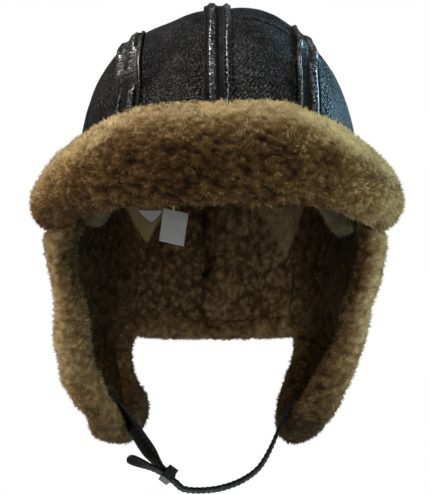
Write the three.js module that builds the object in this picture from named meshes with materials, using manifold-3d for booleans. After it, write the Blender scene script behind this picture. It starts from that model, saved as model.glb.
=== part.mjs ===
// A sheepskin flying helmet: a crown of four leather panels under three taped seams, lined with
// fleece, a deep turned-up fleece brim, two ear flaps and a neck flap edged with fleece rolls, and
// a chin strap with a short tab, a slide buckle and a free tail.
// Millimetres, +Z up, the face towards -Y. The origin is the centre of the head opening, level with
// the band where the flaps join the crown. Left is -X, as a person facing the helmet sees it.
import * as THREE from "three";
import { mergeVertices } from "three/addons/utils/BufferGeometryUtils.js";
import Module from "manifold-3d";

const wasm = await Module();
wasm.setup();

// Crown
const bandHalfWidth = 97;
const bandHalfDepth = 115;
const crownHeight = 136;
const fullness = 2.3; // exponent of the superellipse, where 2 is a plain ellipse
const leatherWall = 2;
const fleeceDepth = 9.5;
const clearance = 0.35;
const curvedGap = 0.0073; // between layers that curve together, as a share of the band's half width

// Taped seams
const seamReach = 59; // from the middle of the crown to the middle of each side tape
const tapeWidth = 18;
const sideTapeSpan = 15; // measured across the helmet, because the side tapes lie on a slope
const tapeThickness = 1.4;
const tapeRidge = 1.3; // how far the gathered edges stand above the tape

// Brim
const brimHeight = 66;
const brimDepth = 31;
const brimFoot = -3; // height of its lower edge at the front
const brimDroop = { depth: 19, from: 20, to: 95 }; // how much lower that edge gets, and over which degrees
const brimNarrow = { share: 0.9, from: 15, to: 65 }; // how much less tall it gets, and over which degrees
const brimEnd = 100; // degrees round from the front
const brimTaper = 20; // degrees over which each end rounds off
const brimBlunt = 0.3; // share of its height and depth left at each end

// Flaps
const flapDrop = 156; // from the band to the centre of the roll under the ear
const neckDrop = 85;
const neckSag = 6;
const neckSeam = 143; // degrees round from the front
const flapTuck = 24; // how far the lowest part of a flap is drawn in under the jaw
const flapSway = 9.5; // the fronts of the flaps hang this far to the left at their lowest
const rearSway = 0.55; // share of that at their rears
const rearFrom = 76; // degrees round from the front, between which a flap's front turns into its rear
const rearTo = 118;
const frontRollRadius = 13;
const lowRollRadius = 12.5;
const rearRollRadius = 9.5;
const browRollRadius = 9;
const browEnd = 68; // degrees round from the front
const browRise = 6; // its height over the forehead
const browDroop = 11; // how far below the band its ends are
const browLevel = 25; // degrees to each side over which it stays level

// Chin strap
const strapWidth = 14;
const strapThickness = 2.4;
const strapAngle = 87; // degrees round from the front, where each end is sewn
const strapSewn = 0.78; // share of the flap's drop at the top of the sewn end
const strapLowest = 195; // below the band
const buckleReach = 34; // from the middle of the helmet
const buckleLow = 0.955; // share of the strap's depth below the band
const buckleTurn = 36; // degrees above the level
const buckleTilt = 18; // degrees that the straps turn their faces forwards there
const buckleRoom = 0.6; // all round the two straps
const tabPast = 5; // how far the tab ends past the middle of the buckle
const tailLength = 30;
const tailHang = 6; // how far the free end hangs off the line of the buckle
const buckleWall = 1.6;
const buckleLength = 7;

// Labels
const labelWidth = 20;
const labelHeight = 25;
const labelThickness = 0.6;
const labelTop = 3; // below the band
const labelHang = { top: 1.3, slope: 0.2 }; // how far off the lining it hangs, and how much more per mm
const careLabelAngle = 198; // degrees round from the front
const careLabelLean = -12; // degrees
const labelGap = 1.2; // between the two labels at their tops
const sizeLabelHeight = 8.5;
const sizeLabelFoot = 0.15; // share of its width left at its lower edge, where it is folded

const curvedClearance = curvedGap * bandHalfWidth;
const sheetDepth = leatherWall + clearance + fleeceDepth;
const DEGREE = Math.PI / 180;
const seamHalfAngle = 0.1; // half of the gap between an ear flap and the neck flap, in degrees
const neckRollGap = 0.6; // from that gap's middle to each end of the neck roll, in degrees

// Edge of an ear flap, from the temple down, round under the ear and up to the neck flap.
const flapEdge = [
  { angle: 72, drop: 0.01 },
  { angle: 72, drop: 0.16 },
  { angle: 72, drop: 0.37 },
  { angle: 72, drop: 0.58 },
  { angle: 73, drop: 0.72 },
  { angle: 76, drop: 0.83 },
  { angle: 82, drop: 0.92 },
  { angle: 91, drop: 0.98 },
  { angle: 100, drop: 1.0 },
  { angle: 109, drop: 0.97 },
  { angle: 117, drop: 0.9 },
  { angle: 124, drop: 0.8 },
  { angle: 131, drop: 0.69 },
  { angle: 137, drop: 0.6 },
  { angle: neckSeam, drop: 0.55 },
];

// How far the skirt stands out from the band at its front and rear, in shares of the tuck.
const flapStance = [
  { drop: 0, front: 0, rear: 0 },
  { drop: 0.14, front: 0.5, rear: 0.04 },
  { drop: 0.22, front: 0.56, rear: 0.02 },
  { drop: 0.3, front: 0.48, rear: 0 },
  { drop: 0.42, front: 0.29, rear: 0 },
  { drop: 0.53, front: 0.2, rear: 0 },
  { drop: 0.63, front: 0.14, rear: -0.02 },
  { drop: 0.72, front: -0.02, rear: -0.25 },
  { drop: 0.8, front: -0.21, rear: -0.52 },
  { drop: 0.87, front: -0.37, rear: -0.8 },
  { drop: 0.93, front: -0.56, rear: -1.05 },
  { drop: 1.0, front: -0.8, rear: -1.25 },
];

// Thickness of the brim from its lower edge to its top, in shares of its depth.
const brimSection = [
  { height: 0, depth: 0.4 },
  { height: 0.04, depth: 0.62 },
  { height: 0.1, depth: 0.81 },
  { height: 0.2, depth: 0.95 },
  { height: 0.33, depth: 1.0 },
  { height: 0.47, depth: 0.96 },
  { height: 0.62, depth: 0.82 },
  { height: 0.77, depth: 0.6 },
  { height: 0.9, depth: 0.33 },
  { height: 1, depth: 0.09 },
];

// Where the crown sinks, at its seams too. Places and spreads are shares of the band's half width,
// depths are shares of the leather wall.
const dents = [
  { across: -0.4, along: 0, wide: 0.25, long: 1.2, depth: 2.2 },
  { across: 0.34, along: -0.5, wide: 0.16, long: 0.16, depth: 1.0 },
  { across: 0.3, along: 0.55, wide: 0.35, long: 0.35, depth: 0.8 },
  { across: -0.61, along: 0, wide: 0.1, long: 3, depth: 0.4 },
  { across: 0, along: 0, wide: 0.12, long: 3, depth: 0.9 },
  { across: 0.61, along: 0, wide: 0.12, long: 3, depth: 1.1 },
];

// A smooth curve through one column of a table.
function readTable(rows, key, column, at) {
  const last = rows.length - 1;
  const from = Math.max(0, Math.min(last - 1, rows.findLastIndex((row) => row[key] <= at)));
  const slope = (i) => {
    const before = rows[Math.max(0, i - 1)];
    const after = rows[Math.min(last, i + 1)];
    return (after[column] - before[column]) / (after[key] - before[key]);
  };
  const step = rows[from + 1][key] - rows[from][key];
  const t = THREE.MathUtils.clamp((at - rows[from][key]) / step, 0, 1);
  const rise = t * t * (3 - 2 * t);
  return (
    rows[from][column] * (1 - rise) +
    rows[from + 1][column] * rise +
    slope(from) * step * t * (1 - t) ** 2 -
    slope(from + 1) * step * t * t * (1 - t)
  );
}

function smoothCurve(points) {
  return new THREE.CatmullRomCurve3(points, false, "centripetal");
}

// Surfaces of the crown and skirt

// Sine or cosine bent to the superellipse.
function bent(value) {
  return Math.sign(value) * Math.abs(value) ** (2 / fullness);
}

// Undoes bent.
function unbent(value) {
  return Math.sign(value) * Math.abs(value) ** (fullness / 2);
}

// The turn or rise at which the middle of the crown has this height.
function heightTurn(height) {
  return Math.asin(unbent(height / crownHeight));
}

// What is left of a half axis of 1 once the share is used up in another direction.
function remainder(share) {
  return Math.max(0, 1 - Math.abs(share) ** fullness) ** (1 / fullness);
}

function outward(p) {
  const slope = (value, half) => (Math.sign(value) * Math.abs(value / half) ** (fullness - 1)) / half;
  const across = slope(p.x, bandHalfWidth);
  const along = slope(p.y, bandHalfDepth);
  return new THREE.Vector3(across, along, slope(p.z, crownHeight)).normalize();
}

// Sinks the crown's face by its dents. They fade out at the band.
function dentDepth(p) {
  const fade = THREE.MathUtils.smoothstep(p.z, 0.15 * crownHeight, 0.5 * crownHeight);
  const sum = dents.reduce((total, dent) => {
    const dx = p.x / bandHalfWidth - dent.across;
    const dy = p.y / bandHalfWidth - dent.along;
    return total + dent.depth * Math.exp(-((dx / dent.wide) ** 2) - (dy / dent.long) ** 2);
  }, 0);
  return sum * leatherWall * fade;
}

function offCrown(base, offset) {
  return base.clone().addScaledVector(outward(base), offset - dentDepth(base));
}

// A point over a slice of the crown: turn runs from the front band (0) over the top to the back (pi).
function slicePoint(across, turn, offset) {
  const share = remainder(across / bandHalfWidth);
  const y = -bandHalfDepth * share * bent(Math.cos(turn));
  return offCrown(new THREE.Vector3(across, y, crownHeight * share * bent(Math.sin(turn))), offset);
}

// A point of the crown at an angle round from the front, rise running from the band (0) to the top (pi / 2).
function domePoint(angle, rise, offset) {
  const share = bent(Math.cos(rise));
  const x = bandHalfWidth * share * bent(Math.sin(angle * DEGREE));
  const y = -bandHalfDepth * share * bent(Math.cos(angle * DEGREE));
  return offCrown(new THREE.Vector3(x, y, crownHeight * bent(Math.sin(rise))), offset);
}

function bandPoint(angle) {
  const x = bandHalfWidth * bent(Math.sin(angle * DEGREE));
  return new THREE.Vector3(x, -bandHalfDepth * bent(Math.cos(angle * DEGREE)), 0);
}

// How far a place is towards the rear of a flap, from 0 at its front to 1.
function rearShare(angle) {
  const around = Math.abs(angle) > 180 ? 360 - Math.abs(angle) : Math.abs(angle);
  return THREE.MathUtils.smoothstep(around, rearFrom, rearTo);
}

// How far the skirt stands out from the band.
function stance(angle, drop) {
  const share = THREE.MathUtils.clamp(drop / flapDrop, 0, 1);
  const front = readTable(flapStance, "drop", "front", share);
  const rear = readTable(flapStance, "drop", "rear", share);
  return flapTuck * THREE.MathUtils.lerp(front, rear, rearShare(angle));
}

// A point of the skirt's leather face, or off it by an offset.
function skirtPoint(angle, drop, offset) {
  const base = bandPoint(angle);
  const p = base.clone().addScaledVector(outward(base), stance(angle, drop) + offset);
  p.x -= flapSway * THREE.MathUtils.lerp(1, rearSway, rearShare(angle)) * (drop / flapDrop);
  p.z = -drop;
  return p;
}

// Solids

// A closed solid between two grids of points, at(u, v, side), where side is 0 outside and 1 inside.
function sheetSolid(uSteps, vSteps, at) {
  const positions = [];
  const index = [];
  const corner = (i, j, side) => (side * (vSteps + 1) + j) * (uSteps + 1) + i;
  for (const side of [0, 1]) {
    for (let j = 0; j <= vSteps; j++) {
      for (let i = 0; i <= uSteps; i++) positions.push(...at(i / uSteps, j / vSteps, side).toArray());
    }
  }
  const quad = (a, b, c, d) => index.push(a, b, c, a, c, d);
  for (let j = 0; j < vSteps; j++) {
    for (let i = 0; i < uSteps; i++) {
      quad(corner(i, j, 0), corner(i + 1, j, 0), corner(i + 1, j + 1, 0), corner(i, j + 1, 0));
      quad(corner(i, j, 1), corner(i, j + 1, 1), corner(i + 1, j + 1, 1), corner(i + 1, j, 1));
    }
  }
  for (let i = 0; i < uSteps; i++) {
    quad(corner(i, 0, 0), corner(i, 0, 1), corner(i + 1, 0, 1), corner(i + 1, 0, 0));
    quad(corner(i, vSteps, 0), corner(i + 1, vSteps, 0), corner(i + 1, vSteps, 1), corner(i, vSteps, 1));
  }
  for (let j = 0; j < vSteps; j++) {
    quad(corner(0, j, 0), corner(0, j + 1, 0), corner(0, j + 1, 1), corner(0, j, 1));
    quad(corner(uSteps, j, 0), corner(uSteps, j, 1), corner(uSteps, j + 1, 1), corner(uSteps, j + 1, 0));
  }
  return solidOf(positions, index);
}

// A closed solid from rings of points, with a flat end at each end.
function ringSolid(rings) {
  const sides = rings[0].length;
  const positions = rings.flat().flatMap((p) => p.toArray());
  const index = [];
  const corner = (ring, i) => ring * sides + (i % sides);
  for (let ring = 0; ring < rings.length - 1; ring++) {
    for (let i = 0; i < sides; i++) {
      index.push(corner(ring, i), corner(ring, i + 1), corner(ring + 1, i + 1));
      index.push(corner(ring, i), corner(ring + 1, i + 1), corner(ring + 1, i));
    }
  }
  for (let i = 1; i < sides - 1; i++) {
    index.push(corner(0, 0), corner(0, i + 1), corner(0, i));
    index.push(corner(rings.length - 1, 0), corner(rings.length - 1, i), corner(rings.length - 1, i + 1));
  }
  return solidOf(positions, index);
}

// Merges shared corners, drops the triangles that closed up, and turns the faces outwards.
function solidOf(positions, index) {
  const raw = new THREE.BufferGeometry();
  raw.setAttribute("position", new THREE.Float32BufferAttribute(positions, 3));
  raw.setIndex(index);
  const merged = mergeVertices(raw, 1e-3);
  const corners = Array.from(merged.index.array);
  const kept = [];
  for (let i = 0; i < corners.length; i += 3) {
    const [a, b, c] = corners.slice(i, i + 3);
    if (a !== b && b !== c && c !== a) kept.push(a, b, c);
  }
  const build = (triVerts) =>
    new wasm.Manifold(
      new wasm.Mesh({
        numProp: 3,
        vertProperties: merged.attributes.position.array,
        triVerts: new Uint32Array(triVerts),
      }),
    );
  const solid = build(kept);
  return solid.volume() > 0 ? solid : build(kept.reverse());
}

// The largest body of a solid, without the slivers that a cut leaves.
function mainBody(solid) {
  return solid.decompose().reduce((best, one) => (one.volume() > best.volume() ? one : best));
}

function geometryOf(solid) {
  const made = mainBody(solid).getMesh();
  const geometry = new THREE.BufferGeometry();
  geometry.setAttribute("position", new THREE.BufferAttribute(made.vertProperties, 3));
  geometry.setIndex(new THREE.BufferAttribute(made.triVerts, 1));
  geometry.computeVertexNormals();
  return geometry;
}

// Crown panels and tapes

const halfTape = tapeWidth / 2;
const halfSideTape = sideTapeSpan / 2;

// Each panel's edges across the helmet. The panels meet under the tapes.
const seamHalfGap = clearance / 2;
const panels = [
  { name: "side_left", from: -bandHalfWidth, to: -seamReach - seamHalfGap, steps: 5 },
  { name: "top_left", from: -seamReach + seamHalfGap, to: -seamHalfGap, steps: 6 },
  { name: "top_right", from: seamHalfGap, to: seamReach - seamHalfGap, steps: 6 },
  { name: "side_right", from: seamReach + seamHalfGap, to: bandHalfWidth, steps: 5 },
];

// One layer of a panel. Its columns are spread evenly over the surface, so that the sides stay round.
function panelSheet(one, outside, thickness) {
  const evenly = (across) => Math.asin(unbent(across / bandHalfWidth));
  return sheetSolid(one.steps, 24, (u, v, side) => {
    const swing = THREE.MathUtils.lerp(evenly(one.from), evenly(one.to), u);
    const across = bandHalfWidth * bent(Math.sin(swing));
    return slicePoint(across, Math.PI * v, outside - thickness * side);
  });
}

// The tape's section has a flat middle and two gathered edges.
const tapeSection = [
  { across: -1, ridge: 0.3 },
  { across: -0.78, ridge: 1 },
  { across: -0.4, ridge: 0 },
  { across: 0.4, ridge: 0 },
  { across: 0.78, ridge: 1 },
  { across: 1, ridge: 0.3 },
];

// room makes the shape larger all round, and longer at its ends.
function tape(middle, half, room) {
  const steps = tapeSection.length - 1;
  const endTurn = heightTurn(clearance - room);
  return sheetSolid(steps, 24, (u, v, side) => {
    const row = tapeSection[Math.round(u * steps)];
    const across = middle + row.across * (half + room);
    const top = clearance + tapeThickness + tapeRidge * row.ridge + room;
    const turn = THREE.MathUtils.lerp(endTurn, Math.PI - endTurn, v);
    return slicePoint(across, turn, side ? clearance - room : top);
  });
}

// Brim

function brimPoint(angle, height, side, room) {
  const around = Math.abs(angle);
  const past = THREE.MathUtils.clamp((around - (brimEnd - brimTaper)) / brimTaper, 0, 1);
  const round = Math.max(brimBlunt, Math.sqrt(1 - past * past));
  const droop = brimDroop.depth * THREE.MathUtils.smoothstep(around, brimDroop.from, brimDroop.to);
  const narrow = THREE.MathUtils.smoothstep(around, brimNarrow.from, brimNarrow.to);
  const tall = brimHeight * THREE.MathUtils.lerp(1, brimNarrow.share, narrow);
  const z = brimFoot - droop + tall / 2 + (height - 0.5) * (tall * round + 2 * room);
  const below = z < 0;
  const inner = below ? stance(angle, -z) + curvedClearance : clearance;
  const outer = brimDepth * round * readTable(brimSection, "height", "depth", height);
  const offset = side ? inner - room : Math.max(outer, inner + leatherWall) + room;
  if (below) {
    return skirtPoint(angle, -z, offset - stance(angle, -z));
  }
  return domePoint(angle, heightTurn(z), offset);
}

function brim(room) {
  const steps = brimSection.length - 1;
  return sheetSolid(34, steps, (u, v, side) => {
    const angle = THREE.MathUtils.lerp(-brimEnd, brimEnd, u);
    return brimPoint(angle, brimSection[Math.round(v * steps)].height, side, room);
  });
}

// Rolls of fleece

// A round roll along a path, at(t) for t from 0 to 1, with a radius that may change along it.
// room makes it larger all round.
function roll(at, radius, steps, room) {
  const sides = 10;
  const rings = [];
  for (let i = 0; i <= steps; i++) {
    const t = i / steps;
    const ahead = at(Math.min(1, t + 0.01)).sub(at(Math.max(0, t - 0.01))).normalize();
    const middle = at(t);
    if (i === 0) middle.addScaledVector(ahead, -room);
    if (i === steps) middle.addScaledVector(ahead, room);
    const towards = new THREE.Vector3(middle.x, middle.y, 0).normalize();
    const away = towards.addScaledVector(ahead, -towards.dot(ahead)).normalize();
    const beside = new THREE.Vector3().crossVectors(ahead, away);
    const ring = [];
    for (let k = 0; k < sides; k++) {
      const turn = (2 * Math.PI * k) / sides;
      const p = middle.clone().addScaledVector(away, (radius(t) + room) * Math.cos(turn));
      ring.push(p.addScaledVector(beside, (radius(t) + room) * Math.sin(turn)));
    }
    rings.push(ring);
  }
  return ringSolid(rings);
}

// The edge of a flap as a smooth curve of angle and drop.
const edgeCurve = smoothCurve(flapEdge.map((row) => new THREE.Vector3(row.angle, row.drop * flapDrop, 0)));

function flapRollRadius(t) {
  const lower = THREE.MathUtils.smoothstep(t, 0, 0.4);
  const rear = THREE.MathUtils.smoothstep(t, 0.6, 1);
  const size = THREE.MathUtils.lerp(frontRollRadius, lowRollRadius, lower);
  return THREE.MathUtils.lerp(size, rearRollRadius, rear);
}

// side is 1 for the flap at +X and -1 for the other.
function flapRoll(side, room) {
  const at = (t) => {
    const spot = edgeCurve.getPoint(t);
    return skirtPoint(side * Math.min(spot.x, neckSeam - seamHalfAngle), spot.y, -sheetDepth / 2);
  };
  return roll(at, flapRollRadius, 26, room).trimByPlane([0, 0, -1], clearance - room);
}

function neckRoll(room) {
  const start = neckSeam + neckRollGap;
  const joint = flapEdge.at(-1).drop * flapDrop;
  const at = (t) => {
    const angle = THREE.MathUtils.lerp(start, 360 - start, t);
    const level = THREE.MathUtils.lerp(joint, neckDrop + neckSag, Math.sin(Math.PI * t) ** 0.7);
    return skirtPoint(angle, level, -sheetDepth / 2);
  };
  return roll(at, () => rearRollRadius, 12, room);
}

function browRoll(room) {
  const inside = leatherWall + curvedClearance + browRollRadius;
  const at = (t) => {
    const angle = THREE.MathUtils.lerp(-browEnd, browEnd, t);
    const p = bandPoint(angle);
    p.addScaledVector(outward(p), -inside);
    const low = THREE.MathUtils.smoothstep(Math.abs(angle), browLevel, browEnd);
    p.z = THREE.MathUtils.lerp(browRise, -browDroop, low);
    return p;
  };
  return roll(at, () => browRollRadius, 20, room);
}

// Flap sheets

// Angle of a flap's front or rear edge at a drop.
function edgeAngle(drop, rear) {
  const spots = edgeCurve.getPoints(120);
  const lowest = spots.reduce((best, spot, i) => (spot.y > spots[best].y ? i : best), 0);
  const branch = rear ? spots.slice(lowest).reverse() : spots.slice(0, lowest + 1);
  if (drop <= branch[0].y) return branch[0].x;
  const next = branch.findIndex((spot) => spot.y >= drop);
  if (next < 0) return branch.at(-1).x;
  const t = (drop - branch[next - 1].y) / (branch[next].y - branch[next - 1].y);
  return THREE.MathUtils.lerp(branch[next - 1].x, branch[next].x, t);
}

function flapSheet(side, outside, thickness) {
  return sheetSolid(8, 12, (u, v, inner) => {
    const drop = THREE.MathUtils.lerp(clearance, 0.995 * flapDrop, v);
    const front = edgeAngle(drop, false);
    const rear = edgeAngle(drop, true) - seamHalfAngle;
    const angle = side * THREE.MathUtils.lerp(front, rear, u);
    return skirtPoint(angle, drop, outside - (inner ? thickness : 0));
  });
}

function neckSheet(outside, thickness) {
  return sheetSolid(10, 5, (u, v, inner) => {
    const angle = THREE.MathUtils.lerp(neckSeam + seamHalfAngle, 360 - neckSeam - seamHalfAngle, u);
    const drop = THREE.MathUtils.lerp(clearance, neckDrop, v);
    return skirtPoint(angle, drop, outside - (inner ? thickness : 0));
  });
}

// Chin strap

const strapSteps = 32;
const tabSteps = 14;

// A flat strap along a curve. tilt(t) turns its face, in degrees. room makes it larger all round.
function strapAlong(curve, steps, tilt, room) {
  const halfWidth = strapWidth / 2 + room;
  const halfThickness = strapThickness / 2 + room;
  const bevel = strapThickness / 3;
  const outline = [
    [halfWidth, halfThickness - bevel],
    [halfWidth - bevel, halfThickness],
    [bevel - halfWidth, halfThickness],
    [-halfWidth, halfThickness - bevel],
    [-halfWidth, bevel - halfThickness],
    [bevel - halfWidth, -halfThickness],
    [halfWidth - bevel, -halfThickness],
    [halfWidth, bevel - halfThickness],
  ];
  const rings = [];
  for (let i = 0; i <= steps; i++) {
    const ahead = curve.getTangentAt(i / steps);
    const middle = curve.getPointAt(i / steps);
    if (i === 0) middle.addScaledVector(ahead, -room);
    if (i === steps) middle.addScaledVector(ahead, room);
    const { wide, thick } = facing(ahead, tilt(i / steps));
    rings.push(outline.map(([w, h]) => middle.clone().addScaledVector(wide, w).addScaledVector(thick, h)));
  }
  return ringSolid(rings);
}

// The directions across a strap's width and through its thickness.
function facing(ahead, tilt) {
  const level = new THREE.Vector3(0, 1, 0).addScaledVector(ahead, -ahead.y).normalize();
  const wide = level.applyAxisAngle(ahead, tilt * DEGREE);
  return { wide, thick: new THREE.Vector3().crossVectors(ahead, wide).normalize() };
}

const strapLie = strapThickness / 2 + curvedClearance;
const underStrap = edgeCurve.getPoints(200).findIndex((spot) => spot.x >= strapAngle) / 200;

// Where a strap passes round the inside of the low roll, turn degrees above the level.
function roundRoll(side, turn) {
  const centre = skirtPoint(side * strapAngle, edgeCurve.getPoint(underStrap).y, -sheetDepth / 2);
  const reach = flapRollRadius(underStrap) + strapLie;
  centre.x -= side * reach * Math.cos(turn * DEGREE);
  centre.z += reach * Math.sin(turn * DEGREE);
  return centre;
}

function sewnEnd(side) {
  return [
    skirtPoint(side * strapAngle, strapSewn * flapDrop, -sheetDepth - strapLie),
    roundRoll(side, 48),
    roundRoll(side, 10),
  ];
}

// The buckle's own directions: along the straps to the left, across them, and through them.
const buckleAlong = new THREE.Vector3(-Math.cos(buckleTurn * DEGREE), 0, Math.sin(buckleTurn * DEGREE));
const { wide: buckleWide, thick: buckleDown } = facing(buckleAlong, buckleTilt);
const buckleMiddle = new THREE.Vector3(-buckleReach, roundRoll(1, 0).y, -buckleLow * strapLowest);
const plyGap = (strapThickness + clearance) / 2;

function bucklePoint(along, down) {
  return buckleMiddle.clone().addScaledVector(buckleAlong, along).addScaledVector(buckleDown, down);
}

// Each strap from its sewn end down to the buckle. The long one goes on as the free tail.
const tabCurve = smoothCurve([
  ...sewnEnd(-1),
  bucklePoint(buckleLength, -plyGap),
  bucklePoint(0, -plyGap),
  bucklePoint(-tabPast, -plyGap),
]);
const strapCurve = smoothCurve([
  ...sewnEnd(1),
  new THREE.Vector3(0.8 * buckleReach, buckleMiddle.y, -0.935 * strapLowest),
  new THREE.Vector3(0.1 * buckleReach, buckleMiddle.y, -strapLowest),
  bucklePoint(-2 * buckleLength, plyGap + clearance),
  bucklePoint(-buckleLength, plyGap),
  bucklePoint(0, plyGap),
  bucklePoint(buckleLength, plyGap + clearance),
  bucklePoint(tailLength, plyGap + tailHang),
]);
const tabTilt = (t) => -buckleTilt * THREE.MathUtils.smoothstep(t, 0.1, 0.7);
const strapTilt = (t) => buckleTilt * THREE.MathUtils.smoothstep(t, 0.1, 0.6);

// A plain slide that both straps pass through.
function buckle() {
  const outline = (grow) => {
    const w = strapWidth / 2 + buckleRoom + grow;
    const h = strapThickness + clearance / 2 + buckleRoom + grow;
    const corners = [[w, h], [-w, h], [-w, -h], [w, -h]];
    return corners.map(([x, y]) => new THREE.Vector2(x, y));
  };
  const shape = new THREE.Shape(outline(buckleWall));
  shape.holes.push(new THREE.Path(outline(0)));
  const geometry = new THREE.ExtrudeGeometry(shape, { depth: buckleLength, bevelEnabled: false });
  geometry.translate(0, 0, -buckleLength / 2);
  return geometry;
}

// Labels

// Where the top of a label hangs off the lining.
function labelSpot(angle) {
  return skirtPoint(angle, labelTop, -sheetDepth - labelHang.top);
}

// The size label lies a label's width and a gap beyond the care label.
const labelStep = 10; // degrees over which the lining is measured
const labelReach = labelSpot(careLabelAngle).distanceTo(labelSpot(careLabelAngle + labelStep));
const sizeLabelAngle = careLabelAngle + (labelStep * (labelWidth + labelGap)) / labelReach;

// A flat cloth label that hangs off the lining, turned by lean degrees. foot is the share of its
// width that its lower edge has.
function label(angle, lean, height, foot) {
  const turn = lean * DEGREE;
  const away = outward(bandPoint(angle));
  const beside = new THREE.Vector3(away.y, -away.x, 0);
  const top = labelSpot(angle);
  return sheetSolid(2, 2, (u, v, side) => {
    const x = (u - 0.5) * labelWidth * THREE.MathUtils.lerp(1, foot, v);
    const down = v * height;
    const p = top.clone().addScaledVector(beside, x * Math.cos(turn) + down * Math.sin(turn));
    p.z -= down * Math.cos(turn) - x * Math.sin(turn);
    return p.addScaledVector(away, -labelHang.slope * down - side * labelThickness);
  });
}

// Assembly

const materials = {
  leather: new THREE.MeshStandardMaterial({ color: 0x2a2829, roughness: 0.45, metalness: 0 }),
  tape: new THREE.MeshStandardMaterial({ color: 0x1f1f22, roughness: 0.28, metalness: 0 }),
  fleece: new THREE.MeshStandardMaterial({ color: 0x8f7040, roughness: 0.95, metalness: 0 }),
  lining: new THREE.MeshStandardMaterial({ color: 0x6b5231, roughness: 0.95, metalness: 0 }),
  strap: new THREE.MeshStandardMaterial({ color: 0x151314, roughness: 0.35, metalness: 0 }),
  metal: new THREE.MeshStandardMaterial({ color: 0x3b3b3e, roughness: 0.35, metalness: 1 }),
  cloth: new THREE.MeshStandardMaterial({ color: 0xe4e4e6, roughness: 0.8, metalness: 0 }),
};

const helmet = new THREE.Group();
helmet.name = "flying_helmet";

function add(name, geometry, material) {
  const mesh = new THREE.Mesh(geometry, materials[material]);
  mesh.name = name;
  helmet.add(mesh);
  return mesh;
}

function addSolid(name, solid, material) {
  return add(name, geometryOf(solid), material);
}

for (const one of panels) addSolid(`crown_${one.name}`, panelSheet(one, 0, leatherWall), "leather");

const tapes = [
  { name: "seam_tape_left", middle: -seamReach, half: halfSideTape },
  { name: "seam_tape_centre", middle: 0, half: halfTape },
  { name: "seam_tape_right", middle: seamReach, half: halfSideTape },
];
for (const one of tapes) addSolid(one.name, tape(one.middle, one.half, 0), "tape");

// The brim is cut back round the tapes, and the rolls round the brim.
const brimRoom = brim(clearance);
let brimShape = brim(0);
for (const one of tapes) brimShape = brimShape.subtract(tape(one.middle, one.half, clearance));
addSolid("brim_fleece", brimShape, "fleece");

// Fleece gives way under the straps.
const strapRoom = {
  left: strapAlong(tabCurve, tabSteps, tabTilt, clearance),
  right: strapAlong(strapCurve, strapSteps, strapTilt, clearance),
};
const sides = { left: -1, right: 1 };
let browShape = browRoll(0);
let neckShape = neckRoll(0);
for (const [word, side] of Object.entries(sides)) {
  const rollShape = flapRoll(side, 0).subtract(brimRoom);
  const rollRoom = flapRoll(side, clearance);
  addSolid(`ear_roll_${word}`, rollShape.subtract(strapRoom[word]), "fleece");
  addSolid(`ear_flap_${word}`, flapSheet(side, 0, leatherWall).subtract(rollRoom), "leather");
  const lining = flapSheet(side, -leatherWall - clearance, fleeceDepth).subtract(rollRoom);
  addSolid(`ear_lining_${word}`, lining.subtract(strapRoom[word]), "lining");
  browShape = browShape.subtract(rollRoom);
  neckShape = neckShape.subtract(rollRoom);
}
addSolid("brow_roll", browShape, "fleece");

const browRoom = browRoll(clearance);
for (const one of panels) {
  const lining = panelSheet(one, -leatherWall - clearance, fleeceDepth);
  addSolid(`crown_lining_${one.name}`, lining.subtract(browRoom), "lining");
}

const neckRoom = neckRoll(clearance);
addSolid("neck_roll", neckShape, "fleece");
addSolid("neck_flap", neckSheet(0, leatherWall).subtract(neckRoom), "leather");
addSolid("neck_lining", neckSheet(-leatherWall - clearance, fleeceDepth).subtract(neckRoom), "lining");

addSolid("chin_strap", strapAlong(strapCurve, strapSteps, strapTilt, 0), "strap");
addSolid("strap_tab", strapAlong(tabCurve, tabSteps, tabTilt, 0), "strap");
const buckleMesh = add("strap_buckle", buckle(), "metal");
buckleMesh.position.copy(buckleMiddle);
const buckleAxes = [buckleWide, buckleDown, new THREE.Vector3().crossVectors(buckleWide, buckleDown)];
buckleMesh.quaternion.setFromRotationMatrix(new THREE.Matrix4().makeBasis(...buckleAxes));

addSolid("care_label", label(careLabelAngle, careLabelLean, labelHeight, 1), "cloth");
addSolid("size_label", label(sizeLabelAngle, 0, sizeLabelHeight, sizeLabelFoot), "cloth");

export default helmet;
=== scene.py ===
"""A sheepskin flying helmet: leather crown, deep fleece brim, fleece-edged flaps and a chin strap.

Lengths in the script are millimetres, in the row's frame, and become metres when a mesh is made.
Left is -X, as a person facing the helmet sees it.
"""

import itertools
import math
from functools import partial

import bpy
import numpy as np
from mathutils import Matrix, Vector


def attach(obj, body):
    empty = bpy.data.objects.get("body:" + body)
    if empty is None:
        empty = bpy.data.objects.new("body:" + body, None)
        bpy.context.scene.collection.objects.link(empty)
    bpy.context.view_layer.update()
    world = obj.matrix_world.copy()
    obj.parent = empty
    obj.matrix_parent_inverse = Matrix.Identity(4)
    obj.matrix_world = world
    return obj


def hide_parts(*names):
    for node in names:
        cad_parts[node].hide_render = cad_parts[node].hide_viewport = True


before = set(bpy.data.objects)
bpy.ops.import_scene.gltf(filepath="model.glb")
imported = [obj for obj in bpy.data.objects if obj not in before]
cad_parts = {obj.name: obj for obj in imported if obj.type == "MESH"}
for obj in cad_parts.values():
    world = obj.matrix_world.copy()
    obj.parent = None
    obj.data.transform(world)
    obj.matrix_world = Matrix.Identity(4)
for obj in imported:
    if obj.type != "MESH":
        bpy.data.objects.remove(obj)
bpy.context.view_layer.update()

MM = 0.001

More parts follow.
